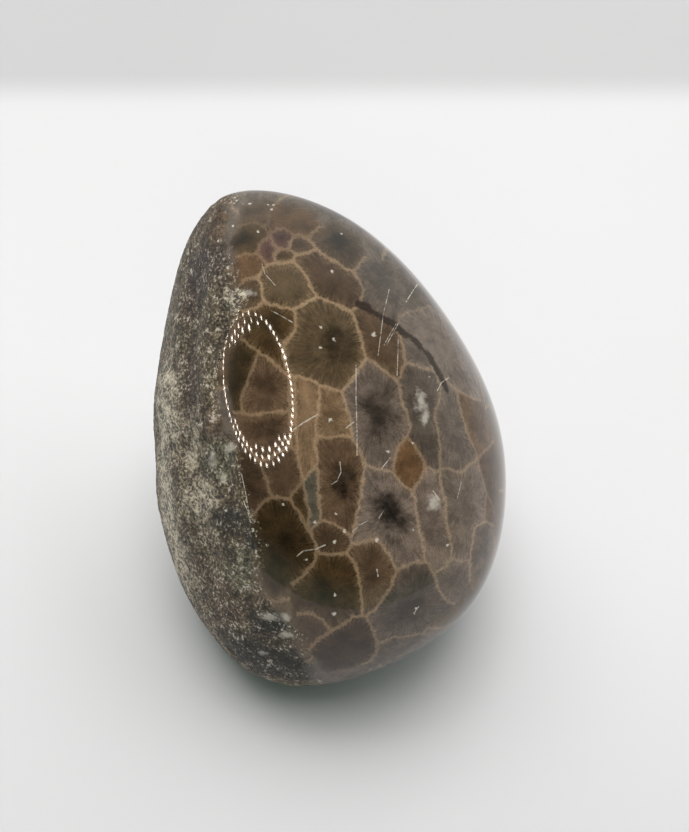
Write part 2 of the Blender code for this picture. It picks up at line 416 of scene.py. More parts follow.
# Light scratches: half width in mm and bends in pixels
SCRATCHES = (
    (0.10, ((272, 311), (292, 322))),
    (0.14, ((293, 430), (303, 423), (317, 415))),
    (0.09, ((356, 366), (356, 400), (357, 430), (357, 455))),
    (0.07, ((389, 290), (383, 315), (378, 355))),
    (0.08, ((396, 324), (384, 345))),
    (0.08, ((398, 324), (387, 344))),
    (0.09, ((417, 285), (406, 302))),
    (0.08, ((398, 340), (397, 375))),
    (0.10, ((448, 378), (441, 383), (437, 391))),
    (0.12, ((297, 556), (303, 551), (316, 549), (325, 545))),
    (0.08, ((353, 531), (360, 525), (367, 521))),
    (0.08, ((340, 462), (341, 472), (337, 481), (332, 484))),
    (0.10, ((382, 468), (386, 463), (390, 458))),
    (0.10, ((346, 428), (354, 422))),
    (0.06, ((262, 264), (265, 274), (275, 285))),
    (0.10, ((243, 474), (247, 492), (251, 522))),
    (0.08, ((244, 497), (248, 510), (251, 522))),
    (0.10, ((414, 613), (418, 607))),
    (0.12, ((377, 570), (378, 576))),
    (0.10, ((433, 491), (439, 499))),
    (0.08, ((386, 451), (390, 452))),
    (0.06, ((461, 482), (457, 498))),
    (0.07, ((379, 518), (383, 511))),
)

# White specks, partly broken crystal and partly painted glints: middle in pixels and half width in mm
SPECKS_AND_GLINTS = (
    (237, 201, 0.12), (244, 204, 0.14), (250, 204, 0.14), (268, 205, 0.12), (274, 205, 0.12),
    (272, 210, 0.12), (258, 232, 0.14), (233, 226, 0.14), (218, 241, 0.12), (203, 230, 0.12),
    (228, 268, 0.18), (196, 424, 0.18), (253, 530, 0.14), (243, 522, 0.12), (226, 510, 0.18),
    (267, 545, 0.12), (234, 573, 0.14), (283, 505, 0.12), (321, 327, 0.12), (320, 348, 0.10),
    (334, 340, 0.20), (374, 335, 0.26), (332, 271, 0.20), (341, 234, 0.14), (447, 545, 0.14),
    (335, 595, 0.14), (334, 614, 0.22), (306, 560, 0.18), (413, 530, 0.12), (377, 540, 0.16),
    (413, 443, 0.12), (334, 542, 0.16), (344, 531, 0.14), (315, 522, 0.14), (336, 514, 0.12),
    (330, 420, 0.20), (370, 669, 0.14), (429, 377, 0.12), (416, 608, 0.16), (388, 452, 0.14),
)

# White crystal spots: middle in pixels, half width and half height in mm
SPOTS = (
    (421, 402, 0.8, 1.5), (425, 417, 0.6, 1.2), (433, 503, 0.8, 1.0), (270, 617, 1.6, 0.6),
    (287, 635, 1.0, 0.5), (286, 617, 0.7, 0.7), (262, 653, 0.7, 0.35), (230, 448, 0.8, 0.6),
    (213, 464, 0.7, 0.7), (223, 478, 0.5, 0.6), (212, 455, 0.5, 0.5), (250, 293, 0.8, 0.5),
)

# Patches of the rough side: middle in pixels, half width and half height in mm, colour, how strongly it
# covers, and how grainy it is. The pale ones down the steep left face are partly painted light, and the
# purple ones along the valley and the black ones low down towards the floor are partly painted shade;
# the brown and green ones are the stone's own colour.
PATCHES_WITH_LIGHT_AND_SHADE = (
    (165, 410, 2.6, 8.5, "rough_pale_and_lit", 0.9, 0.75),
    (166, 500, 2.6, 8.0, "rough_pale_and_lit", 1.0, 0.75),
    (178, 560, 3.0, 6.0, "rough_pale_and_lit", 0.7, 0.75),
    (200, 500, 3.6, 3.4, "rough_pale_and_lit", 0.6, 0.8),
    (196, 280, 2.4, 6.5, "rough_purple_and_shade", 0.9, 0.9),
    (190, 380, 1.5, 7.0, "rough_purple_and_shade", 0.7, 0.8),
    (193, 445, 1.4, 5.0, "rough_pale_and_lit", 0.4, 0.6),
    (215, 260, 3.2, 2.8, "rough_purple_and_shade", 1.0, 0.9),
    (222, 222, 5.5, 4.0, "rough_brown", 1.0, 0.5),
    (214, 425, 2.2, 2.4, "rough_brown", 0.9, 0.5),
    (236, 302, 1.7, 2.0, "rough_pale_and_lit", 0.6, 1.0),
    (220, 460, 2.6, 3.6, "rough_green", 0.9, 0.9),
    (230, 519, 3.0, 2.0, "rough_black_and_shade", 0.9, 0.8),
    (250, 537, 1.6, 2.2, "rough_black_and_shade", 0.9, 0.8),
    (240, 570, 2.4, 4.6, "rough_green", 0.9, 0.8),
    (226, 606, 4.0, 3.4, "rough_brown", 0.7, 1.0),
    (272, 624, 3.4, 2.6, "rough_black_and_shade", 1.0, 1.0),
    (246, 652, 6.0, 4.2, "rough_black_and_shade", 0.9, 0.9),
    (288, 664, 7.0, 4.0, "rough_black_and_shade", 1.0, 0.7),
)

# How far and how finely the patches' outlines waver, the seed of that, how far patches and
# white spots reach along the view, and how strongly light and dark grains differ
PATCH_WARP = 1.0
PATCH_WARP_SIZE = 2.2
PATCH_SEED = 3
SPOT_DEPTH = 5.0
GRAIN_CONTRAST = 12.0

# Unseen cells: least angle in radians between their middles and from the seen walls, and
# how light their tints, how dark their cores and how clear their walls are
CELL_SPACING = 0.30
SEEN_SPACING = 0.135
CELL_TRIES = 4000
CELL_SEED = 5
UNSEEN_LIGHTNESS = (0.9, 1.3)
UNSEEN_DARKNESS = (0.3, 0.9)
UNSEEN_CLEARNESS = 0.45

# How many times the cells' colours are blurred into each other, how many faces are worked
# on at a time, and what counts as far away
TINT_BLUR = 4
FACES_AT_A_TIME = 4000
FAR = 9.0

# The room's dark opening: its direction, the cosines at which it is all light and all dark,
# and how high above the floor its pale foot fades out, as a sine. The walls are dimmer down
# to this share at the floor, from this height, also as a sine.
ROOM_OPENING = (180, 28)
ROOM_OPENING_EDGES = (-0.1, 0.75)
OPENING_FOOT_TOP = 0.30
WALL_FOOT_SHARE = 0.65
WALL_FOOT_TOP = 0.60

# The far soft lamps, two for the stone and the others for the floor: direction and width
# in degrees, and the share that each of the floor's main lamps has of their strength
KEY_LAMP = ((45, 76), 47.0)
FILL_LAMP = ((170, 50), 30.0)
FLOOR_LAMPS = (
    ((-28, 56), 40.0, 0.65),
    ((28, 56), 40.0, 0.80),
    ((80, 38), 40.0, 0.35),
    ((0, 86), 40.0, 0.80),
)
FOOT_LAMP = ((180, 35), 40.0)

# Where the floor turns greyer with painted shade behind the origin and, softly, in front of it, and how
# much
FAR_FLOOR_SHADE_START = 118.0
FAR_FLOOR_SHADE_END = 132.0
FAR_FLOOR_SHADE_SHARE = 0.76
FRONT_FLOOR_SHADE_START = 10.0
FRONT_FLOOR_SHADE_END = -85.0
FRONT_FLOOR_SHADE_SHARE = 0.80

# The ring of small lamps, as the polish mirrors it: middle, half sizes, lean to the right
# and distance between dots in pixels. Each row has its share of the half sizes, and the
# turns from the top at which it starts and ends.
RING_MIDDLE = (258.0, 389.0)
RING_HALF_WIDTH = 33.5
RING_HALF_HEIGHT = 76.0
RING_LEAN = 9.0
RING_DOT_SPACING = 6.6
RING_ROWS = (
    (1.0, -180.0, 180.0),
    (0.90, -50.0, 25.0),
    (0.81, -40.0, 12.0),
    (0.90, -225.0, -112.0),
    (0.80, -215.0, -150.0),
)

# How far the ring's lamps stand from the stone, how long a mirrored one is in pixels, the
# least and the greatest size of a lamp, and the steps in which a row is measured
RING_DISTANCE = 200.0
RING_DOT_LENGTH = 3.4
RING_LAMP_SIZES = (1.0, 5.0)
RING_STEPS = 400


class PetoskeyStoneProperties(bpy.types.PropertyGroup):
    """Sizes of the worn block and of the relief on its rough side."""

    wear: bpy.props.FloatProperty(
        name="Wear", description="High keeps the edges between the worn faces, low rounds them",
        default=WEAR, min=2.0, max=30.0,
    )
    lump_height: bpy.props.FloatProperty(
        name="Lump height", description="Height of the rough side's lumps, as a share of the usual one",
        default=1.0, min=0.0, max=2.0, subtype="FACTOR",
    )
    grain_size: bpy.props.FloatProperty(
        name="Grain size", description="Width of the grains on the rough side",
        default=0.0011, unit="LENGTH",
    )
    grain_depth: bpy.props.FloatProperty(
        name="Grain depth", description="Height of the grains on the rough side",
        default=0.00022, unit="LENGTH",
    )
    pit_size: bpy.props.FloatProperty(
        name="Pit size", description="Distance between the pits of the rough side",
        default=0.0026, unit="LENGTH",
    )
    pit_depth: bpy.props.FloatProperty(
        name="Pit depth", description="Depth of the pits of the rough side",
        default=0.00030, unit="LENGTH",
    )


class PetoskeyColourProperties(bpy.types.PropertyGroup):
    """Colours of the coral and of the rough stone, some of them also painted light and shade."""

    wall: bpy.props.FloatVectorProperty(
        name="Wall", description="Walls between the coral's cells",
        default=(0.48, 0.335, 0.200), size=3, min=0.0, max=1.0, subtype="COLOR",
    )
    walnut: bpy.props.FloatVectorProperty(
        name="Walnut", description="Brown cells",
        default=(0.085, 0.052, 0.030), size=3, min=0.0, max=1.0, subtype="COLOR",
    )
    umber: bpy.props.FloatVectorProperty(
        name="Umber", description="Darkest brown cells",
        default=(0.046, 0.027, 0.011), size=3, min=0.0, max=1.0, subtype="COLOR",
    )
    olive: bpy.props.FloatVectorProperty(
        name="Olive", description="Olive brown cells",
        default=(0.098, 0.066, 0.036), size=3, min=0.0, max=1.0, subtype="COLOR",
    )
    slate: bpy.props.FloatVectorProperty(
        name="Slate", description="Grey brown cells",
        default=(0.105, 0.080, 0.062), size=3, min=0.0, max=1.0, subtype="COLOR",
    )
    amber: bpy.props.FloatVectorProperty(
        name="Amber", description="Orange brown cells",
        default=(0.155, 0.084, 0.040), size=3, min=0.0, max=1.0, subtype="COLOR",
    )
    russet: bpy.props.FloatVectorProperty(
        name="Russet", description="Red brown cells",
        default=(0.115, 0.072, 0.042), size=3, min=0.0, max=1.0, subtype="COLOR",
    )
    tan: bpy.props.FloatVectorProperty(
        name="Tan", description="Light brown cells",
        default=(0.165, 0.105, 0.058), size=3, min=0.0, max=1.0, subtype="COLOR",
    )
    plum: bpy.props.FloatVectorProperty(
        name="Plum", description="Purplish cells",
        default=(0.105, 0.052, 0.042), size=3, min=0.0, max=1.0, subtype="COLOR",
    )
    teal: bpy.props.FloatVectorProperty(
        name="Teal", description="Green grey cells",
        default=(0.105, 0.092, 0.066), size=3, min=0.0, max=1.0, subtype="COLOR",
    )
    # The seam's dark colour stands partly for painted shade of the shallow groove along it
    seam: bpy.props.FloatVectorProperty(
        name="Seam", description="The dark seam across the cells",
        default=(0.022, 0.011, 0.006), size=3, min=0.0, max=1.0, subtype="COLOR",
    )
    rough_middle: bpy.props.FloatVectorProperty(
        name="Rough middle", description="Most of the rough side, between its patches",
        default=(0.100, 0.072, 0.040), size=3, min=0.0, max=1.0, subtype="COLOR",
    )
    # Also painted light, down the steep left face of the rough side
    rough_pale_and_lit: bpy.props.FloatVectorProperty(
        name="Rough pale", description="Pale patches of the rough side",
        default=(0.430, 0.375, 0.285), size=3, min=0.0, max=1.0, subtype="COLOR",
    )
    # Also painted shade, along the rough side's valley
    rough_purple_and_shade: bpy.props.FloatVectorProperty(
        name="Rough purple", description="Dark purplish patches of the rough side",
        default=(0.056, 0.036, 0.028), size=3, min=0.0, max=1.0, subtype="COLOR",
    )
    rough_brown: bpy.props.FloatVectorProperty(
        name="Rough brown", description="Smoother brown patches of the rough side",
        default=(0.078, 0.046, 0.024), size=3, min=0.0, max=1.0, subtype="COLOR",
    )
    rough_green: bpy.props.FloatVectorProperty(
        name="Rough green", description="Grey green crystal patches of the rough side",
        default=(0.100, 0.092, 0.054), size=3, min=0.0, max=1.0, subtype="COLOR",
    )
    # Also painted shade, low on the rough side where it turns under towards the floor
    rough_black_and_shade: bpy.props.FloatVectorProperty(
        name="Rough black", description="Darkest patches of the rough side",
        default=(0.018, 0.016, 0.010), size=3, min=0.0, max=1.0, subtype="COLOR",
    )
    # Also the colour of the painted glints among the white specks
    crystal: bpy.props.FloatVectorProperty(
        name="Crystal", description="White specks and spots of crystal",
        default=(0.74, 0.69, 0.59), size=3, min=0.0, max=1.0, subtype="COLOR",
    )


class PetoskeyStudioProperties(bpy.types.PropertyGroup):
    """The floor, the room's light, the soft lamps and the ring of lamps."""

    floor_colour: bpy.props.FloatVectorProperty(
        name="Floor", description="Colour of the floor",
        default=(0.47, 0.47, 0.47), size=3, min=0.0, max=1.0, subtype="COLOR",
    )
    room_light: bpy.props.FloatProperty(
        name="Room light", description="Brightness of the room's white walls",
        default=1.0, min=0.0, soft_max=5.0,
    )
    front_dark: bpy.props.FloatProperty(
        name="Dark front", description="Brightness of the room's open front, where the camera stands",
        default=0.05, min=0.0, soft_max=5.0,
    )
    front_foot: bpy.props.FloatProperty(
        name="Front foot", description="Brightness of the open front just above the floor",
        default=0.40, min=0.0, soft_max=5.0,
    )
    room_colour: bpy.props.FloatVectorProperty(
        name="Room colour", description="Colour of the room's light",
        default=(0.93, 1.0, 0.95), size=3, min=0.0, max=1.0, subtype="COLOR",
    )
    foot_colour: bpy.props.FloatVectorProperty(
        name="Foot colour", description="Colour of the light in the open front and of its weak lamp",
        default=(0.70, 1.0, 0.84), size=3, min=0.0, max=1.0, subtype="COLOR",
    )
    lamp_colour: bpy.props.FloatVectorProperty(
        name="Lamp colour", description="Colour of the key lamp and of the floor's lamps",
        default=(1.0, 0.95, 0.98), size=3, min=0.0, max=1.0, subtype="COLOR",
    )
    fill_colour: bpy.props.FloatVectorProperty(
        name="Fill colour", description="Colour of the soft lamp in front",
        default=(1.0, 0.95, 0.89), size=3, min=0.0, max=1.0, subtype="COLOR",
    )
    key_light: bpy.props.FloatProperty(
        name="Key light", description="Strength of the soft lamp above, for the stone alone",
        default=1.95, min=0.0, soft_max=10.0,
    )
    foot_light: bpy.props.FloatProperty(
        name="Foot light", description="Strength of the weak lamp in front, for the floor alone",
        default=0.35, min=0.0, soft_max=10.0,
    )
    fill_light: bpy.props.FloatProperty(
        name="Fill light", description="Strength of the soft lamp in front, for the stone alone",
        default=0.72, min=0.0, soft_max=10.0,
    )
    floor_light: bpy.props.FloatProperty(
        name="Floor light", description="Strength of the soft lamps that light only the floor",
        default=2.0, min=0.0, soft_max=10.0,
    )
    ring_light: bpy.props.FloatProperty(
        name="Ring light", description="Power of a lamp of the ring, if it were 1 mm wide",
        default=0.00016, min=0.0, unit="POWER", precision=6,
    )
    ring_colour: bpy.props.FloatVectorProperty(
        name="Ring colour", description="Colour of the ring's lamps",
        default=(1.0, 0.86, 0.72), size=3, min=0.0, max=1.0, subtype="COLOR",
    )


def direction(azimuth, elevation):
    """Unit vector that points to an azimuth and an elevation."""
    turn = math.radians(azimuth)
    rise = math.radians(elevation)
    return Vector((math.cos(rise) * math.sin(turn), math.cos(rise) * math.cos(turn), math.sin(rise)))


def camera_axes():
    """The camera's right, up and backward directions."""
    back = direction(180, CAMERA_RISE)
    right = Vector((1.0, 0.0, 0.0))
    return right, back.cross(right), back


def camera_place():
    """Where the camera stands, in mm."""
    return CAMERA_TARGET + direction(180, CAMERA_RISE) * CAMERA_DISTANCE


def sight_line(x, y):
    """Unit vector from the camera through a pixel of the photograph."""
    right, up, back = camera_axes()
    across = (x - PHOTO_WIDTH / 2) / FOCAL_PIXELS
    rise = (PHOTO_HEIGHT / 2 - y) / FOCAL_PIXELS
    return (right * across + up * rise - back).normalized()


def pixels_of(points):
    """Pixels of the photograph at which points, in mm, are seen."""
    right, up, back = (np.array(axis) for axis in camera_axes())
    from_camera = points - np.array(camera_place())
    depth = -(from_camera @ back)
    x = PHOTO_WIDTH / 2 + FOCAL_PIXELS * (from_camera @ right) / depth
    y = PHOTO_HEIGHT / 2 - FOCAL_PIXELS * (from_camera @ up) / depth
    return np.stack((x, y), axis=1)


class Sight:
    """Looks along the camera's sight lines at the plain cobble of the frame."""

    def __init__(self, node):
        mesh = node.data
        places = [vert.co / MM for vert in mesh.vertices]
        self.cobble = BVHTree.FromPolygons(places, [face.vertices[:] for face in mesh.polygons])

    def place(self, x, y):
        """The place on the stone that is seen at a pixel, in mm."""
        found = self.cobble.ray_cast(camera_place(), sight_line(x, y))[0]
        if found is None:
            raise ValueError(f"the stone isn't seen at pixel {x}, {y}")
        return found

    def ray(self, x, y):
        """Unit vector from the block's middle to what is seen at a pixel."""
        return np.array((self.place(x, y) - MIDDLE).normalized())


def unit(vectors):
    """Vectors scaled to length 1."""
    return vectors / np.linalg.norm(vectors, axis=-1, keepdims=True)


def scattered_knobs():
    """Small pits and knobs at random places on the rough side: centre, half width, height."""
    draw = random.Random(KNOB_SEED)
    middle = direction(*ROUGH_CENTRE)
    across = middle.orthogonal().normalized()
    along = middle.cross(across)
    knobs = []
    for _ in range(KNOB_COUNT):
        away = math.radians(ROUGH_REACH) * math.sqrt(draw.random())
        turn = draw.uniform(0.0, 2.0 * math.pi)
        side = across * math.cos(turn) + along * math.sin(turn)
        centre = middle * math.cos(away) + side * math.sin(away)
        knobs.append((centre, draw.uniform(*KNOB_HALF_WIDTH), draw.uniform(*KNOB_HEIGHT)))
    return knobs


def valley_distance(rays):
    """How far rays' tips are from the valley's line, on the unit sphere."""
    nearest = np.full(len(rays), np.inf)
    bends = [np.array(direction(*bend)) for bend in VALLEY_BENDS]
    for start, end in zip(bends, bends[1:]):
        run = end - start
        share = np.clip((rays - start) @ run / (run @ run), 0.0, 1.0)
        gap = np.linalg.norm(rays - start - share[:, None] * run, axis=1)
        nearest = np.minimum(nearest, gap)
    return nearest


def rough_lumps(rays):
    """Height of the rough side's lumps and hollows along rays, in mm."""
    rise = -VALLEY_DEPTH * np.exp(-((valley_distance(rays) * ROUGH_RADIUS / VALLEY_HALF_WIDTH) ** 2))
    forms = [(direction(turn, up), width, height) for turn, up, width, height in ROUGH_FORMS.values()]
    for centre, width, height in forms + scattered_knobs():
        away = np.linalg.norm(rays - np.array(centre), axis=1) * ROUGH_RADIUS
        rise += height * np.exp(-((away / width) ** 2))
    return rise


def rough_edge_distance(rays, sight):
    """How far inside the rough side's edge rays lie, in mm: above 0 is rough."""
    edge = [sight.ray(x, y) for x, y in ROUGH_EDGE_SEEN]
    edge += [np.array(direction(turn, rise)) for turn, rise in ROUGH_EDGE_UNSEEN]
    middle = direction(*ROUGH_CENTRE)
    across = np.array(middle.orthogonal().normalized())
    middle = np.array(middle)
    along = np.cross(middle, across)

    def polar(vectors):
        away = np.arccos(np.clip(vectors @ middle, -1.0, 1.0))
        return np.arctan2(vectors @ along, vectors @ across), away

    turns, reaches = polar(np.array(edge))
    order = np.argsort(turns)
    turn, away = polar(rays)
    reach = np.interp(turn, turns[order], reaches[order], period=2.0 * math.pi)
    return (reach - away) * ROUGH_RADIUS


def stone_net(sight):
    """A cube's net of unit rays, with each point's lump height and distance into the rough side."""
    net = bmesh.new()
    bmesh.ops.create_cube(net, size=2.0)
    bmesh.ops.subdivide_edges(net, edges=net.edges[:], cuts=FACES_PER_SIDE - 1, use_grid_fill=True)
    mesh = bpy.data.meshes.new("stone_net")
    net.to_mesh(mesh)
    net.free()
    points = np.empty(len(mesh.vertices) * 3)
    mesh.vertices.foreach_get("co", points)
    rays = unit(np.tan(math.pi / 4.0 * points.reshape(-1, 3)))
    mesh.vertices.foreach_set("co", rays.ravel())
    add_attribute(mesh, "lumps", "POINT", rough_lumps(rays))
    add_attribute(mesh, "rough", "POINT", rough_edge_distance(rays, sight))
    return mesh


def add_attribute(mesh, name, domain, values):
    """Store one number, one vector or one colour for each point or face corner."""
    kinds = {1: ("FLOAT", "value"), 3: ("FLOAT_VECTOR", "vector"), 4: ("FLOAT_COLOR", "color")}
    width = 1 if values.ndim == 1 else values.shape[1]
    kind, field = kinds[width]
    attribute = mesh.attributes.new(name, kind, domain)
    attribute.data.foreach_set(field, values.astype(np.float32).ravel())


class Graph:
    """Adds nodes to a node tree and wires them, each from sockets or plain values."""

    def __init__(self, tree):
        self.tree = tree

    def node(self, kind, *values, **settings):
        """A node whose inputs, in order, are sockets to wire, values to set or None to leave."""
        node = self.tree.nodes.new(kind)
        for name, value in settings.items():
            setattr(node, name, value)
        for socket, value in zip(node.inputs, values):
            self.feed(socket, value)
        return node

    def feed(self, socket, value):
        """Wire a socket into an input, or set its value."""
        if isinstance(value, bpy.types.NodeSocket):
            self.tree.links.new(value, socket)
        elif value is not None:
            socket.default_value = value

    def maths(self, operation, *values):
        """Result of a Math node."""
        return self.node("ShaderNodeMath", *values, operation=operation).outputs[0]

    def vector(self, operation, *values):
        """Result of a Vector Math node: a number for length, distance and dot product."""
        node = self.node("ShaderNodeVectorMath", *values, operation=operation)
        single = operation in {"LENGTH", "DISTANCE", "DOT_PRODUCT"}
        return node.outputs["Value" if single else "Vector"]

    def scaled(self, vector, factor):
        """A vector times a number."""
        node = self.node("ShaderNodeVectorMath", vector, operation="SCALE")
        self.feed(node.inputs["Scale"], factor)
        return node.outputs["Vector"]

    def step(self, value, low, high, start=0.0, end=1.0):
        """Soft step of a value from start to end between low and high."""
        node = self.node("ShaderNodeMapRange", value, low, high, start, end)
        node.interpolation_type = "SMOOTHSTEP"
        return node.outputs[0]

    def grey_ramp(self, noise, low, high):
        """A noise spread out between two grey levels, as a factor for a colour."""
        return self.step(noise, 0.3, 0.7, low, high)

    def noise(self, place, scale, detail=2.0, roughness=0.5):
        """Value of a 3D noise."""
        node = self.node("ShaderNodeTexNoise")
        self.feed(node.inputs["Vector"], place)
        self.feed(node.inputs["Scale"], scale)
        self.feed(node.inputs["Detail"], detail)
        self.feed(node.inputs["Roughness"], roughness)
        return node.outputs[0]

    def wobble(self, noise, height):
        """A noise turned into a wobble around 0."""
        return self.maths("MULTIPLY", self.maths("SUBTRACT", noise, 0.5), height)

    def stored(self, name, output="Fac"):
        """A value that the mesh stores under a name, in a material."""
        return self.node("ShaderNodeAttribute", attribute_name=name).outputs[output]

    def mix(self, share, first, second, blend="MIX"):
        """Mix of two colours."""
        node = self.node("ShaderNodeMix", data_type="RGBA", blend_type=blend)
        self.feed(node.inputs["Factor"], share)
        self.feed(node.inputs[6], first)
        self.feed(node.inputs[7], second)
        return node.outputs[2]


def worn_block_tree(material):
    """Geometry Nodes tree that blows unit rays up to the worn block and roughens one side."""
    tree = bpy.data.node_groups.new("worn_block", "GeometryNodeTree")
    face = tree.interface
    face.new_socket("Geometry", in_out="INPUT", socket_type="NodeSocketGeometry")
    for name in ("Wear", "Lump height", "Grain size", "Grain depth", "Pit size", "Pit depth"):
        face.new_socket(name, in_out="INPUT", socket_type="NodeSocketFloat")
    for name in FACES:
        face.new_socket(name.capitalize() + " distance", in_out="INPUT", socket_type="NodeSocketFloat")
    face.new_socket("Geometry", in_out="OUTPUT", socket_type="NodeSocketGeometry")

    graph = Graph(tree)
    given = graph.node("NodeGroupInput").outputs
    ray = graph.node("GeometryNodeInputPosition").outputs[0]
    lumps = graph.node("GeometryNodeInputNamedAttribute", "lumps", data_type="FLOAT").outputs[0]
    inside = graph.node("GeometryNodeInputNamedAttribute", "rough", data_type="FLOAT").outputs[0]

    total = 0.0
    for name, (turn, rise, _) in FACES.items():
        facing = graph.maths("MAXIMUM", graph.vector("DOT_PRODUCT", ray, direction(turn, rise)), 0.0)
        part = graph.maths("DIVIDE", facing, given[name.capitalize() + " distance"])
        total = graph.maths("ADD", total, graph.maths("POWER", part, given["Wear"]))
    radius = graph.maths("POWER", total, graph.maths("DIVIDE", -1.0, given["Wear"]))

    place = graph.scaled(ray, radius)
    grain = graph.noise(place, graph.maths("DIVIDE", 1.0, given["Grain size"]), 3.0, 0.6)
    grain = graph.maths("MULTIPLY", graph.maths("SUBTRACT", grain, 0.5), given["Grain depth"])
    cells = graph.node("ShaderNodeTexVoronoi", feature="F1")
    graph.feed(cells.inputs["Vector"], place)
    graph.feed(cells.inputs["Scale"], graph.maths("DIVIDE", 1.0, given["Pit size"]))
    pits = graph.step(cells.outputs["Distance"], 0.0, 0.45, -1.0, 0.0)
    pits = graph.maths("MULTIPLY", pits, given["Pit depth"])
    relief = graph.maths("ADD", graph.maths("MULTIPLY", grain, 2.0), pits)
    relief = graph.maths("MULTIPLY", relief, graph.step(inside, *GRAIN_FADE))
    lumps = graph.maths("MULTIPLY", lumps, graph.step(inside, *LUMP_FADE))
    relief = graph.maths("ADD", relief, graph.maths("MULTIPLY", lumps, given["Lump height"]))

    # The flat spot: nothing reaches below the floor
    place = graph.scaled(ray, graph.maths("ADD", radius, relief))
    place = graph.vector("ADD", place, MIDDLE)
    place = graph.vector("MAXIMUM", place, Vector((-1000.0, -1000.0, 0.0)))
    moved = graph.node("GeometryNodeSetPosition", given["Geometry"], None, graph.scaled(place, MM))
    made = graph.node("GeometryNodeRealizeInstances", moved.outputs[0])
    made = graph.node("GeometryNodeSetMaterial", made.outputs[0], None, material)
    graph.node("NodeGroupOutput", made.outputs[0])
    return tree


def carve(net, material, sizes):
    """The stone's plain mesh, from the net of rays and the Geometry Nodes tree."""
    worker = bpy.data.objects.new("stone_worker", net)
    bpy.context.scene.collection.objects.link(worker)
    modifier = worker.modifiers.new("Worn block", "NODES")
    modifier.node_group = worn_block_tree(material)
    given = {
        "Wear": sizes.wear,
        "Lump height": sizes.lump_height,
        "Grain size": sizes.grain_size / MM,
        "Grain depth": sizes.grain_depth / MM,
        "Pit size": sizes.pit_size / MM,
        "Pit depth": sizes.pit_depth / MM,
    }
    given.update({name.capitalize() + " distance": face[2] for name, face in FACES.items()})
    for socket in modifier.node_group.interface.items_tree:
        if socket.name in given:
            modifier[socket.identifier] = float(given[socket.name])
    depsgraph = bpy.context.evaluated_depsgraph_get()
    mesh = bpy.data.meshes.new_from_object(worker.evaluated_get(depsgraph))
    worker.modifiers.remove(modifier)
    bpy.data.objects.remove(worker)
    return mesh


class CoralCells:
    """The coral's cells: which one a place belongs to, and how far it is from its walls."""

    def __init__(self, sight, colours):
        self.names = list(CELLS)
        self.starts, self.ends, self.sides = [], [], []
        self.outlines = {name: [] for name in self.names}
        for first, second, bends in WALLS:
            rays = [sight.ray(x, y) for x, y in bends]
            for start, end in zip(rays, rays[1:]):
                self.starts.append(start)
                self.ends.append(end)
                self.sides.append((first, second))
            for name in (first, second):
                if name in self.outlines:
                    self.outlines[name].append(list(bends))
        self.starts = np.array(self.starts)
        self.ends = np.array(self.ends)
        self.cores, self.tints, self.darkness, self.clearness = [], [], [], []
        for x, y, tint, lightness, dark, clear in CELLS.values():
            self.cores.append(sight.ray(x, y))
            self.tints.append(np.array(getattr(colours, tint)) * lightness)
            self.darkness.append(dark)
            self.clearness.append(clear)
        self.seeds = self.scattered_seeds(colours)

    def scattered_seeds(self, colours):
        """Middles of the cells that the photograph doesn't show, with their tints."""
        draw = random.Random(CELL_SEED)
        seeds = []
        seen = np.concatenate((self.starts, np.array(self.cores)))
        for _ in range(CELL_TRIES):
            ray = np.array([draw.gauss(0.0, 1.0) for _ in range(3)])
            ray /= np.linalg.norm(ray)
            if np.max(seen @ ray) > math.cos(SEEN_SPACING):
                continue
            if seeds and np.max(np.array(seeds) @ ray) > math.cos(CELL_SPACING):
                continue
            seeds.append(ray)
            self.cores.append(ray)
            tint = draw.choice((colours.walnut, colours.olive, colours.slate))
            self.tints.append(np.array(tint) * draw.uniform(*UNSEEN_LIGHTNESS))
            self.darkness.append(draw.uniform(*UNSEEN_DARKNESS))
            self.clearness.append(UNSEEN_CLEARNESS)
        return np.array(seeds)

    def outline(self, name):
        """A seen cell's outline in pixels: its walls chained end to end."""
        walls = [list(wall) for wall in self.outlines[name]]
        chain = walls.pop(0)
        while walls:
            tail = chain[-1]
            gaps = [min(math.dist(tail, wall[0]), math.dist(tail, wall[-1])) for wall in walls]
            wall = walls.pop(gaps.index(min(gaps)))
            if min(gaps) > 0.5:
                raise ValueError(f"the walls of cell {name} don't close: {tail}")
            if math.dist(tail, wall[0]) > math.dist(tail, wall[-1]):
                wall.reverse()
            chain += wall[1:]
        return chain

    def owners(self, rays, pixels, facing):
        """Number of the cell that each ray belongs to."""
        owner = len(self.names) + np.argmax(rays @ self.seeds.T, axis=1)
        for number, name in enumerate(self.names):
            inside = inside_outline(pixels, self.outline(name)) & facing
            owner[inside] = number
        return owner

    def seen_walls(self, rays, name):
        """Planes of the two nearest walls of a seen cell, for each ray: "edge" draws no wall."""
        own = np.array([name in sides and "edge" not in sides for sides in self.sides])
        return nearest_planes(rays, self.starts[own], self.ends[own])

    def unseen_walls(self, rays, owner):
        """Planes of the two nearest walls of the scattered cells, for each ray."""
        number = owner - len(self.names)
        between = self.seeds[number][:, None, :] - self.seeds[None, :, :]
        length = np.linalg.norm(between, axis=2)
        length[length < 1e-6] = np.inf
        borders = between / length[:, :, None]
        apart = np.einsum("ijk,ik->ij", borders, rays)
        apart[np.isinf(length)] = np.inf
        first = np.argmin(apart, axis=1)
        rows = np.arange(len(rays))
        apart[rows, first] = np.inf
        second = np.argmin(apart, axis=1)
        # Both cells of a wall take its plane the same way round
        near = borders[rows, first] * np.where(number > first, 1.0, -1.0)[:, None]
        following = borders[rows, second] * np.where(number > second, 1.0, -1.0)[:, None]
        return near, following


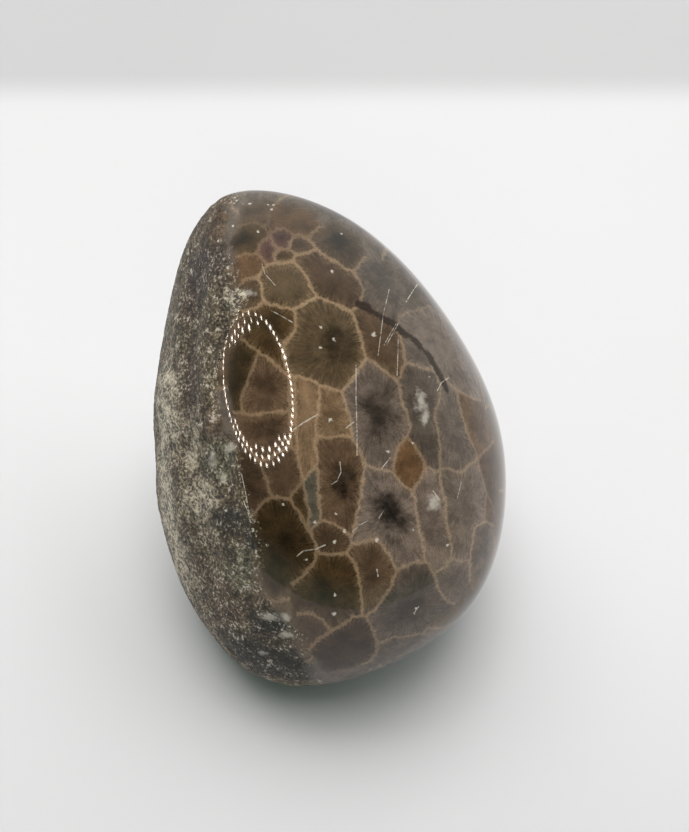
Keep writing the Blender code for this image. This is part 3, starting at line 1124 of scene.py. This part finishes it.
def inside_outline(points, outline):
    """Whether points lie inside a closed outline, both in pixels."""
    x, y = points[:, 0], points[:, 1]
    inside = np.zeros(len(points), bool)
    for (x1, y1), (x2, y2) in zip(outline, outline[1:] + outline[:1]):
        if y1 == y2:
            continue
        crosses = ((y1 > y) != (y2 > y)) & (x < (x2 - x1) * (y - y1) / (y2 - y1) + x1)
        inside ^= crosses
    return inside


def all_planes(rays, starts, ends):
    """Planes through the middle of the stone and each wall piece, and each ray's gap to the piece."""
    planes = unit(np.cross(starts, ends))
    run = ends - starts
    square = np.sum(run * run, axis=1)
    share = np.clip((rays @ run.T - np.sum(starts * run, axis=1)) / square, 0.0, 1.0)
    foot = starts[None, :, :] + share[:, :, None] * run[None, :, :]
    return planes, np.linalg.norm(rays[:, None, :] - foot, axis=2)


def rounded_ends(rays, planes, starts, ends):
    """Each ray's plane of its own piece, turned about the piece's end for a ray beyond that end."""
    run = ends - starts
    share = np.sum((rays - starts) * run, axis=1) / np.sum(run * run, axis=1)
    corner = unit(np.where(share[:, None] < 0.5, starts, ends))
    away = rays - corner * np.sum(rays * corner, axis=1, keepdims=True)
    away /= np.maximum(np.linalg.norm(away, axis=1, keepdims=True), 1e-9)
    side = np.where(np.sum(rays * planes, axis=1, keepdims=True) < 0.0, -1.0, 1.0)
    beyond = (share < 0.0) | (share > 1.0)
    return np.where(beyond[:, None], away * side, planes)


def nearest_planes(rays, starts, ends):
    """Planes of the nearest wall piece and of the nearest one that runs another way."""
    planes, gaps = all_planes(rays, starts, ends)
    first = np.argmin(gaps, axis=1)
    alike = np.abs(planes[first] @ planes.T) > ALIKE
    others = np.where(alike, np.inf, gaps)
    second = np.where(np.isinf(others.min(axis=1)), first, np.argmin(others, axis=1))
    near = rounded_ends(rays, planes[first], starts[first], ends[first])
    return near, rounded_ends(rays, planes[second], starts[second], ends[second])


class StoneFaces:
    """The finished mesh as arrays: each face's corners, rays, middle, pixel and facing."""

    def __init__(self, mesh):
        places = places_of(mesh)
        corners = np.empty(len(mesh.loops), np.int32)
        mesh.loops.foreach_get("vertex_index", corners)
        self.corners = corners.reshape(-1, 4)
        offsets = places - np.array(MIDDLE)
        self.reach = np.linalg.norm(offsets, axis=1)[self.corners].mean(axis=1)
        self.corner_rays = unit(offsets)[self.corners]
        self.rays = unit(self.corner_rays.mean(axis=1))
        self.middles = places[self.corners].mean(axis=1)
        normals = np.empty(len(mesh.polygons) * 3)
        mesh.polygons.foreach_get("normal", normals)
        towards = np.array(camera_place()) - self.middles
        self.facing = np.sum(normals.reshape(-1, 3) * towards, axis=1) > 0.0
        self.pixels = pixels_of(self.middles)

    def from_planes(self, planes):
        """Each corner's distance in mm to its face's own plane."""
        height = np.einsum("fck,fk->fc", self.corner_rays, planes)
        return (np.arcsin(np.clip(height, -1.0, 1.0)) * self.reach[:, None]).ravel()


def softened(mesh, faces, values):
    """The faces' values given to the mesh's points, and blurred from point to point."""
    edges = np.empty(len(mesh.edges) * 2, np.int32)
    mesh.edges.foreach_get("vertices", edges)
    first, second = edges.reshape(-1, 2).T
    soft = np.zeros((len(mesh.vertices), values.shape[1]))
    np.add.at(soft, faces.corners.ravel(), np.repeat(values, 4, axis=0))
    soft /= np.bincount(faces.corners.ravel())[:, None]
    neighbours = np.bincount(first, minlength=len(soft)) + np.bincount(second, minlength=len(soft))
    for _ in range(TINT_BLUR):
        around = np.zeros_like(soft)
        np.add.at(around, first, soft[second])
        np.add.at(around, second, soft[first])
        soft = (soft + around / neighbours[:, None]) / 2.0
    return soft


def in_parts(numbers):
    """Numbers of faces, in parts that fit in memory."""
    return np.array_split(numbers, max(1, len(numbers) // FACES_AT_A_TIME))


def draw_walls(mesh, faces, cells, owner):
    """Store how far each face corner is from the two walls nearest to its face."""
    near = np.empty_like(faces.rays)
    following = np.empty_like(faces.rays)
    for number, name in enumerate(cells.names):
        own = owner == number
        if own.any():
            near[own], following[own] = cells.seen_walls(faces.rays[own], name)
    for part in in_parts(np.flatnonzero(owner >= len(cells.names))):
        near[part], following[part] = cells.unseen_walls(faces.rays[part], owner[part])
    add_attribute(mesh, "wall", "CORNER", faces.from_planes(near))
    add_attribute(mesh, "next_wall", "CORNER", faces.from_planes(following))


def draw_cells(mesh, faces, cells, owner):
    """Store each face corner's place in its cell, and the colour that the cell gives the points."""
    cores = np.array(cells.cores)
    right = np.array(camera_axes()[0])
    across = unit(right - cores * (cores @ right)[:, None])
    along = np.cross(cores, across)
    offset = faces.corner_rays - cores[owner][:, None, :]
    place = np.stack(
        (
            np.einsum("fck,fk->fc", offset, across[owner]) * faces.reach[:, None],
            np.einsum("fck,fk->fc", offset, along[owner]) * faces.reach[:, None],
        ),
        axis=2,
    )
    half = np.full((len(cores), 2), LEAST_CELL_HALF)
    for number in np.unique(owner):
        reach = np.abs(place[owner == number]).reshape(-1, 2)
        half[number] = np.percentile(reach, WITHIN_CELL_HALF, axis=0)
    half = np.maximum(half, LEAST_CELL_HALF)
    share = place / half[owner][:, None, :]

    # The cell's number sets its rays apart from the next cell's
    number = np.repeat(owner, 4).reshape(-1, 4, 1) * RAYS_APART
    add_attribute(mesh, "cell_place", "CORNER", np.concatenate((share, number), axis=2).reshape(-1, 3))

    looks = np.column_stack((cells.tints, cells.darkness, cells.clearness))[owner]
    looks = softened(mesh, faces, looks)
    add_attribute(mesh, "cell_tint", "POINT", looks[:, :4])
    add_attribute(mesh, "clearness", "POINT", looks[:, 4])


def draw_lines(mesh, faces, sight, name, lines):
    """Store each corner's distance to the nearest line, in half widths of that line."""
    starts, ends, widths = [], [], []
    for width, bends in lines:
        rays = [sight.ray(x, y) for x, y in bends]
        for start, end in zip(rays, rays[1:]):
            starts.append(start)
            ends.append(end)
            widths.append(width)
    starts, ends, widths = np.array(starts), np.array(ends), np.array(widths)
    values = np.full((len(faces.rays), 4), FAR)
    for part in in_parts(np.flatnonzero(faces.facing)):
        planes, gaps = all_planes(faces.rays[part], starts, ends)
        best = np.argmin(gaps, axis=1)
        gap = gaps[np.arange(len(part)), best] * faces.reach[part]
        close = gap < np.maximum(LINE_REACH * widths[best], LEAST_LINE_REACH)
        chosen, best = part[close], best[close]
        turned = rounded_ends(faces.rays[chosen], planes[best], starts[best], ends[best])
        height = np.einsum("fck,fk->fc", faces.corner_rays[chosen], turned)
        values[chosen] = height * faces.reach[chosen][:, None] / widths[best][:, None]
    add_attribute(mesh, name, "CORNER", values.ravel())


def draw_specks_and_glints(mesh, faces, sight):
    """Store at each face the middle and the half width of the nearest white speck, partly crystal and
    partly painted glint, in mm.
    """
    middles = np.array([sight.place(x, y) for x, y, _ in SPECKS_AND_GLINTS])
    widths = np.array([width for _, _, width in SPECKS_AND_GLINTS])
    offset = faces.middles[:, None, :] - middles[None, :, :]
    nearest = np.repeat(np.argmin(np.linalg.norm(offset, axis=2), axis=1), 4)
    add_attribute(mesh, "speck", "CORNER", middles[nearest])
    add_attribute(mesh, "speck_size", "CORNER", widths[nearest])


def places_of(mesh):
    """Where the mesh's points are, in mm."""
    points = np.empty(len(mesh.vertices) * 3)
    mesh.vertices.foreach_get("co", points)
    return points.reshape(-1, 3) / MM


def away_from(places, middle, half_width, half_height):
    """Distance of places from a spot's middle, as the camera sees it, in half sizes of the spot."""
    right, up, back = (np.array(axis) for axis in camera_axes())
    offset = places - np.array(middle)
    depth = offset @ back / SPOT_DEPTH
    return np.sqrt((offset @ right / half_width) ** 2 + (offset @ up / half_height) ** 2 + depth**2)


def draw_spots(mesh, sight):
    """Store how far each point is from the nearest white spot, in half sizes of that spot."""
    places = places_of(mesh)
    nearest = np.full(len(places), FAR)
    for x, y, half_width, half_height in SPOTS:
        away = away_from(places, sight.place(x, y), half_width, half_height)
        nearest = np.minimum(nearest, away)
    add_attribute(mesh, "spot", "POINT", nearest)


def draw_patches(mesh, sight, colours):
    """Store the rough side's colour at each point, with its painted light and shade, and in its alpha
    how grainy it is.
    """
    places = places_of(mesh)
    noise.seed_set(PATCH_SEED)
    warp = [noise.noise_vector(Vector(place) / PATCH_WARP_SIZE) for place in places]
    places = places + np.array(warp) * PATCH_WARP
    tint = np.tile(np.array((*colours.rough_middle, 1.0)), (len(places), 1))
    # Pale patches add painted light, and purple and black ones painted shade, to the stone's own
    # colours
    for x, y, half_width, half_height, name, strength, grainy in PATCHES_WITH_LIGHT_AND_SHADE:
        away = away_from(places, sight.place(x, y), half_width, half_height)
        share = strength * np.exp(-(away**4))[:, None]
        tint = tint * (1.0 - share) + np.array((*getattr(colours, name), grainy)) * share
    add_attribute(mesh, "rough_tint", "POINT", tint)


def cell_rays(graph):
    """How far a place is from its cell's core, about 1 at the walls, and a noise of fine rays."""
    parts = graph.node("ShaderNodeSeparateXYZ", graph.stored("cell_place", "Vector")).outputs
    flat = graph.node("ShaderNodeCombineXYZ", parts[0], parts[1], 0.0).outputs[0]
    from_core = graph.vector("LENGTH", flat)
    heading = graph.node("ShaderNodeSeparateXYZ", graph.vector("NORMALIZE", flat)).outputs
    bend = graph.maths("ADD", parts[2], graph.maths("MULTIPLY", from_core, 0.25))
    heading = graph.node("ShaderNodeCombineXYZ", heading[0], heading[1], bend).outputs[0]
    return from_core, graph.noise(heading, 15.0, 2.0, 0.6)


def coral_colour(graph, place, colours):
    """Colour of the polished coral: tinted cells with dark cores, pale walls and the seam, which is
    partly painted shade.
    """
    tint_node = graph.node("ShaderNodeAttribute", attribute_name="cell_tint")
    tint, core_dark = tint_node.outputs["Color"], tint_node.outputs["Alpha"]
    from_core, rays = cell_rays(graph)
    mottle = graph.noise(place, 0.45, 4.0, 0.6)
    speckle = graph.noise(place, 4.0, 2.0, 0.7)
    colour = graph.mix(1.0, tint, graph.grey_ramp(mottle, 0.74, 1.28), "MULTIPLY")
    colour = graph.mix(1.0, colour, graph.grey_ramp(speckle, 0.86, 1.15), "MULTIPLY")
    rayed = graph.mix(1.0, colour, graph.grey_ramp(rays, 0.80, 1.20), "MULTIPLY")
    colour = graph.mix(graph.step(from_core, 0.2, 0.7, 0.0, 0.8), colour, rayed)

    # The core bleeds outwards along the rays
    spread = graph.maths("ADD", from_core, graph.wobble(rays, 0.35))
    spread = graph.maths("ADD", spread, graph.wobble(mottle, 1.0))
    core = graph.maths("MULTIPLY", graph.step(spread, 0.0, 0.78, 0.9, 0.0), core_dark)
    colour = graph.scaled(colour, graph.maths("SUBTRACT", 1.0, core))

    # Walls: thin wavering lines with a fringe of rays
    clear = graph.stored("clearness")
    sway = graph.wobble(graph.noise(place, 1.1, 2.0, 0.6), 0.9)
    wall = graph.maths("ABSOLUTE", graph.maths("ADD", graph.stored("wall"), sway))
    following = graph.maths("ABSOLUTE", graph.maths("ADD", graph.stored("next_wall"), sway))
    wall = graph.maths("SMOOTH_MIN", wall, following, 0.4)
    wall_colour = graph.mix(0.5, (*colours.wall, 1.0), graph.scaled(tint, 2.1))
    wall_colour = graph.mix(1.0, wall_colour, graph.grey_ramp(speckle, 0.78, 1.22), "MULTIPLY")
    fringe = graph.step(wall, 0.1, 1.3, 0.40, 0.0)
    fringe = graph.maths("MULTIPLY", fringe, graph.step(rays, 0.36, 0.70))
    colour = graph.mix(graph.maths("MULTIPLY", fringe, clear), colour, wall_colour)
    line = graph.maths("MULTIPLY", graph.step(wall, 0.04, 0.38, 0.95, 0.0), clear)
    colour = graph.mix(line, colour, wall_colour)

    # The seam: a dark line of uneven width, partly painted shade of the shallow groove along it
    uneven = graph.wobble(graph.noise(place, 0.5, 3.0, 0.6), 2.6)
    seam = graph.maths("ADD", graph.maths("ABSOLUTE", graph.stored("seam")), uneven)
    return graph.mix(graph.step(seam, 0.4, 1.3, 0.95, 0.0), colour, (*colours.seam, 1.0))


def rough_colour(graph, place, grain, colours):
    """Colour of the unpolished stone: patches, some of them painted light and shade, broken up into
    light and dark grains.
    """
    tint_node = graph.node("ShaderNodeAttribute", attribute_name="rough_tint")
    spread = graph.maths("MULTIPLY", graph.wobble(grain, 1.0), tint_node.outputs["Alpha"])
    spread = graph.maths("ADD", spread, graph.wobble(graph.noise(place, 0.6, 4.0, 0.65), 0.6))
    factor = graph.maths("EXPONENT", graph.maths("MULTIPLY", spread, GRAIN_CONTRAST))
    colour = graph.scaled(tint_node.outputs["Color"], graph.maths("MINIMUM", factor, 1.8))
    specks = graph.step(factor, 1.6, 8.0, 0.0, 0.72)
    return graph.mix(specks, colour, (*colours.crystal, 1.0))


def coral_material(colours):
    """Polished fossil coral, grey and grainy where it was never polished."""
    material = bpy.data.materials.new("fossil_coral")
    material.use_nodes = True
    tree = material.node_tree
    shader = tree.nodes["Principled BSDF"]
    graph = Graph(tree)
    place = graph.node("ShaderNodeTexCoord").outputs["Object"]
    place = graph.scaled(place, 1.0 / MM)

    # Coral above, rough stone beside it, in a ragged and grainy edge. The gloss reaches
    # a little way on to the rough stone.
    grain = graph.noise(place, 2.3, 3.0, 0.7)
    colour = coral_colour(graph, place, colours)
    ragged = graph.wobble(graph.noise(place, 0.5, 4.0, 0.7), 4.0)
    inside = graph.maths("ADD", graph.stored("rough"), ragged)
    dull = graph.step(inside, 0.3, 1.5)
    inside = graph.maths("ADD", inside, graph.wobble(grain, 4.0))
    share = graph.step(inside, -1.0, 1.0)
    colour = graph.mix(share, colour, rough_colour(graph, place, grain, colours))

    # Scratches, white specks that are partly painted glints, and white spots
    white = (*colours.crystal, 1.0)
    scratch = graph.step(graph.maths("ABSOLUTE", graph.stored("scratch")), 0.3, 1.0, 0.7, 0.0)
    broken = graph.step(graph.noise(place, 2.0, 3.0, 0.7), 0.38, 0.58, 0.15, 1.0)
    colour = graph.mix(graph.maths("MULTIPLY", scratch, broken), colour, white)
    speck = graph.vector("DISTANCE", place, graph.stored("speck", "Vector"))
    speck = graph.maths("ADD", speck, graph.wobble(graph.noise(place, 2.5, 2.0, 0.6), 0.9))
    speck = graph.maths("DIVIDE", speck, graph.stored("speck_size"))
    colour = graph.mix(graph.step(speck, 0.4, 1.8, 0.75, 0.0), colour, white)
    cloud = graph.wobble(graph.noise(place, 1.1, 3.0, 0.6), 2.6)
    spot = graph.step(graph.maths("ADD", graph.stored("spot"), cloud), 0.1, 1.5, 0.5, 0.0)
    colour = graph.mix(spot, colour, white)

    graph.feed(shader.inputs["Base Color"], colour)
    gloss = graph.maths("ADD", graph.maths("MULTIPLY", dull, 0.50), 0.05)
    graph.feed(shader.inputs["Roughness"], gloss)
    shader.inputs["IOR"].default_value = 1.55
    bump = graph.node("ShaderNodeBump")
    graph.feed(bump.inputs["Height"], graph.maths("MULTIPLY", dull, grain))
    bump.inputs["Distance"].default_value = 0.0006
    bump.inputs["Strength"].default_value = 0.6
    graph.feed(shader.inputs["Normal"], bump.outputs[0])
    return material


def room_world(studio):
    """A white room with a dark open front, where the camera stands."""
    world = bpy.data.worlds.new("white_room")
    world.use_nodes = True
    tree = world.node_tree
    graph = Graph(tree)
    heading = graph.node("ShaderNodeTexCoord").outputs["Generated"]
    heading = graph.vector("NORMALIZE", heading)
    towards = graph.vector("DOT_PRODUCT", heading, direction(*ROOM_OPENING))
    light = graph.step(towards, *ROOM_OPENING_EDGES, studio.room_light, studio.front_dark)
    rise = graph.node("ShaderNodeSeparateXYZ", heading).outputs[2]
    light = graph.maths("MULTIPLY", light, graph.step(rise, 0.0, WALL_FOOT_TOP, WALL_FOOT_SHARE, 1.0))
    foot = graph.step(rise, 0.0, OPENING_FOOT_TOP, studio.front_foot, 0.0)
    tints = (*studio.foot_colour, 1.0), (*studio.room_colour, 1.0)
    colour = graph.mix(graph.step(light, 0.1, 0.4), *tints)
    background = tree.nodes["Background"]
    graph.feed(background.inputs["Strength"], graph.maths("MAXIMUM", light, foot))
    graph.feed(background.inputs["Color"], colour)
    bpy.context.scene.world = world


def floor_material(colour):
    """A plain matt finish, faintly cloudy, with painted shade far behind the stone and a little in
    front.
    """
    material = bpy.data.materials.new("pale_floor")
    material.use_nodes = True
    graph = Graph(material.node_tree)
    shader = material.node_tree.nodes["Principled BSDF"]
    place = graph.node("ShaderNodeTexCoord").outputs["Object"]
    cloud = graph.grey_ramp(graph.noise(place, 6.0, 2.0, 0.5), 0.985, 1.015)
    back = graph.node("ShaderNodeSeparateXYZ", place).outputs[1]
    # Painted shade: the floor darkens far behind the stone and towards the front
    grey = graph.step(back, FAR_FLOOR_SHADE_START * MM, FAR_FLOOR_SHADE_END * MM, 1.0, FAR_FLOOR_SHADE_SHARE)
    front = graph.step(back, FRONT_FLOOR_SHADE_END * MM, FRONT_FLOOR_SHADE_START * MM, FRONT_FLOOR_SHADE_SHARE, 1.0)
    shade = graph.maths("MULTIPLY", cloud, graph.maths("MULTIPLY", grey, front))
    graph.feed(shader.inputs["Base Color"], graph.mix(1.0, (*colour, 1.0), shade, "MULTIPLY"))
    shader.inputs["Roughness"].default_value = 0.8
    return material


def sheet_object(name, corners, material):
    """A flat four-cornered sheet of the stage, corners in mm."""
    mesh = bpy.data.meshes.new(name)
    mesh.from_pydata([Vector(corner) * MM for corner in corners], [], [(0, 1, 2, 3)])
    mesh.materials.append(material)
    sheet = bpy.data.objects.new(name, mesh)
    bpy.context.scene.collection.objects.link(sheet)
    return sheet


def round_lamp(name, place, heading, size, power):
    """A round lamp that shines back along its heading; place and size in mm."""
    light = bpy.data.lights.new(name, "AREA")
    light.shape = "DISK"
    light.size = size * MM
    light.energy = power
    lamp = bpy.data.objects.new(name, light)
    lamp.location = place * MM
    lamp.rotation_euler = heading.to_track_quat("Z", "Y").to_euler()
    lamp.visible_camera = False
    bpy.context.scene.collection.objects.link(lamp)
    return lamp


def soft_lamp(name, aim, spread, strength, colour, lit):
    """A far and wide soft lamp that lights one object alone, and that the polish doesn't mirror."""
    light = bpy.data.lights.new(name, "SUN")
    light.angle = math.radians(spread)
    light.energy = strength
    light.color = colour
    lamp = bpy.data.objects.new(name, light)
    lamp.rotation_euler = direction(*aim).to_track_quat("Z", "Y").to_euler()
    lamp.visible_glossy = False
    bpy.context.scene.collection.objects.link(lamp)
    only = bpy.data.collections.new("lit_by_" + name)
    only.objects.link(lit)
    lamp.light_linking.receiver_collection = only
    return lamp


def soft_lamps(studio, stone, floor):
    """The key and fill lamps, which light only the stone, and those that light only the floor."""
    lamps = [
        soft_lamp("key_light", *KEY_LAMP, studio.key_light, studio.lamp_colour, stone),
        soft_lamp("fill_light", *FILL_LAMP, studio.fill_light, studio.fill_colour, stone),
        soft_lamp("foot_light", *FOOT_LAMP, studio.foot_light, studio.foot_colour, floor),
    ]
    for aim, spread, share in FLOOR_LAMPS:
        strength = studio.floor_light * share
        lamps.append(soft_lamp("floor_light", aim, spread, strength, studio.lamp_colour, floor))
    return lamps


def ring_dots():
    """Pixels at which the polish mirrors the lamps of the ring, evenly spaced along each row."""
    dots = []
    for share, start, end in RING_ROWS:
        turns = np.radians(np.linspace(start, end, RING_STEPS))
        x = RING_HALF_WIDTH * np.sin(turns) - RING_LEAN * np.cos(turns)
        y = -RING_HALF_HEIGHT * np.cos(turns)
        x, y = RING_MIDDLE[0] + share * x, RING_MIDDLE[1] + share * y
        along = np.concatenate(([0.0], np.cumsum(np.hypot(np.diff(x), np.diff(y)))))
        stops = np.linspace(0.0, along[-1], round(along[-1] / RING_DOT_SPACING), endpoint=False)
        dots += zip(np.interp(stops, along, x), np.interp(stops, along, y))
    return dots


def mirrored(stone, x, y):
    """The place on the stone seen at a pixel, in mm, and where the polish mirrors its sight line."""
    mesh = stone.data
    start, ray = camera_place() * MM, sight_line(x, y)
    found, place, _, number = stone.ray_cast(start, ray)
    if not found:
        raise ValueError(f"the stone isn't seen at pixel {x}, {y}")
    normal = Vector()
    for corner in mesh.polygons[number].vertices:
        vert = mesh.vertices[corner]
        normal += vert.normal / ((vert.co - place).length + 1e-6)
    return place / MM, ray.reflect(normal.normalized())


def mirrored_size(stone, x, y):
    """Size in mm of a lamp of the ring that the polish mirrors RING_DOT_LENGTH pixels long."""
    reach = RING_DOT_LENGTH / 2.0
    spreads = []
    for right, down in ((reach, 0.0), (0.0, reach)):
        first = mirrored(stone, x - right, y - down)[1]
        second = mirrored(stone, x + right, y + down)[1]
        spreads.append(first.angle(second) * RING_DISTANCE)
    return max(RING_LAMP_SIZES[0], min(RING_LAMP_SIZES[1], min(spreads)))


def ring_lamps(studio, stone):
    """The ring of small lamps, seen only in the polish."""
    lamps = []
    for x, y in ring_dots():
        place, heading = mirrored(stone, x, y)
        place += heading * RING_DISTANCE
        size = mirrored_size(stone, x, y)
        lamp = round_lamp("ring_lamp", place, heading, size, studio.ring_light * size**2)
        lamp.data.color = studio.ring_colour
        lamp.visible_diffuse = False
        lamps.append(lamp)
    return lamps


def photo_camera():
    """The camera that sees the stone as the photograph does."""
    lens = bpy.data.cameras.new("photo_camera")
    lens.sensor_width = SENSOR_SIZE
    lens.lens = FOCAL_PIXELS / PHOTO_HEIGHT * SENSOR_SIZE
    lens.clip_start = 0.01
    camera = bpy.data.objects.new("photo_camera", lens)
    camera.location = camera_place() * MM
    camera.rotation_euler = direction(180, CAMERA_RISE).to_track_quat("Z", "Y").to_euler()
    bpy.context.scene.collection.objects.link(camera)
    bpy.context.scene.camera = camera


class PETOSKEY_OT_stone(bpy.types.Operator):
    """Make the cobble, with its coral cells and its rough side"""

    bl_idname = "petoskey.stone"
    bl_label = "Make the stone"

    def execute(self, context):
        colours = context.scene.petoskey_colours
        sight = Sight(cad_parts[NODE])
        material = coral_material(colours)
        mesh = carve(stone_net(sight), material, context.scene.petoskey_stone)
        mesh.name = STONE
        mesh.shade_smooth()
        faces = StoneFaces(mesh)
        cells = CoralCells(sight, colours)
        owner = cells.owners(faces.rays, faces.pixels, faces.facing)
        draw_walls(mesh, faces, cells, owner)
        draw_cells(mesh, faces, cells, owner)
        draw_lines(mesh, faces, sight, "scratch", SCRATCHES)
        draw_lines(mesh, faces, sight, "seam", [(SHADED_SEAM_HALF_WIDTH, SHADED_SEAM)])
        draw_specks_and_glints(mesh, faces, sight)
        draw_spots(mesh, sight)
        draw_patches(mesh, sight, colours)
        stone = bpy.data.objects.new(STONE, mesh)
        context.scene.collection.objects.link(stone)
        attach(stone, "root")
        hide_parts(NODE)
        return {"FINISHED"}


class PETOSKEY_OT_stage(bpy.types.Operator):
    """Make the pale floor, the room's light, the ring of lamps and the camera"""

    bl_idname = "petoskey.stage"
    bl_label = "Make the stage"

    def execute(self, context):
        studio = context.scene.petoskey_studio
        floor = sheet_object(
            "floor",
            ((-2000, -2000, 0), (2000, -2000, 0), (2000, 2000, 0), (-2000, 2000, 0)),
            floor_material(studio.floor_colour),
        )
        room_world(studio)
        stone = bpy.data.objects[STONE]
        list(soft_lamps(studio, stone, floor))
        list(ring_lamps(studio, stone))
        photo_camera()
        context.scene.view_settings.view_transform = "Standard"
        return {"FINISHED"}


class PETOSKEY_PT_panel(bpy.types.Panel):
    """Lists the stone's and the stage's buttons and settings"""

    bl_idname = "PETOSKEY_PT_panel"
    bl_label = "Petoskey stone"
    bl_space_type = "VIEW_3D"
    bl_region_type = "UI"
    bl_category = "Petoskey stone"

    def draw(self, context):
        scene = context.scene
        for settings, operator in (
            ((scene.petoskey_stone, scene.petoskey_colours), PETOSKEY_OT_stone),
            ((scene.petoskey_studio,), PETOSKEY_OT_stage),
        ):
            box = self.layout.box()
            for group in settings:
                for name in group.__annotations__:
                    box.prop(group, name)
            box.operator(operator.bl_idname)


CLASSES = (
    PetoskeyStoneProperties,
    PetoskeyColourProperties,
    PetoskeyStudioProperties,
    PETOSKEY_OT_stone,
    PETOSKEY_OT_stage,
    PETOSKEY_PT_panel,
)


def register():
    """Add the classes and the settings to Blender."""
    for item in CLASSES:
        bpy.utils.register_class(item)
    scene = bpy.types.Scene
    scene.petoskey_stone = bpy.props.PointerProperty(type=PetoskeyStoneProperties)
    scene.petoskey_colours = bpy.props.PointerProperty(type=PetoskeyColourProperties)
    scene.petoskey_studio = bpy.props.PointerProperty(type=PetoskeyStudioProperties)


def unregister():
    """Take the settings and the classes out of Blender."""
    scene = bpy.types.Scene
    del scene.petoskey_studio
    del scene.petoskey_colours
    del scene.petoskey_stone
    for item in reversed(CLASSES):
        bpy.utils.unregister_class(item)


def main():
    """Make the stone and the stage."""
    register()
    bpy.ops.petoskey.stone()
    bpy.ops.petoskey.stage()


if __name__ == "__main__":
    main()
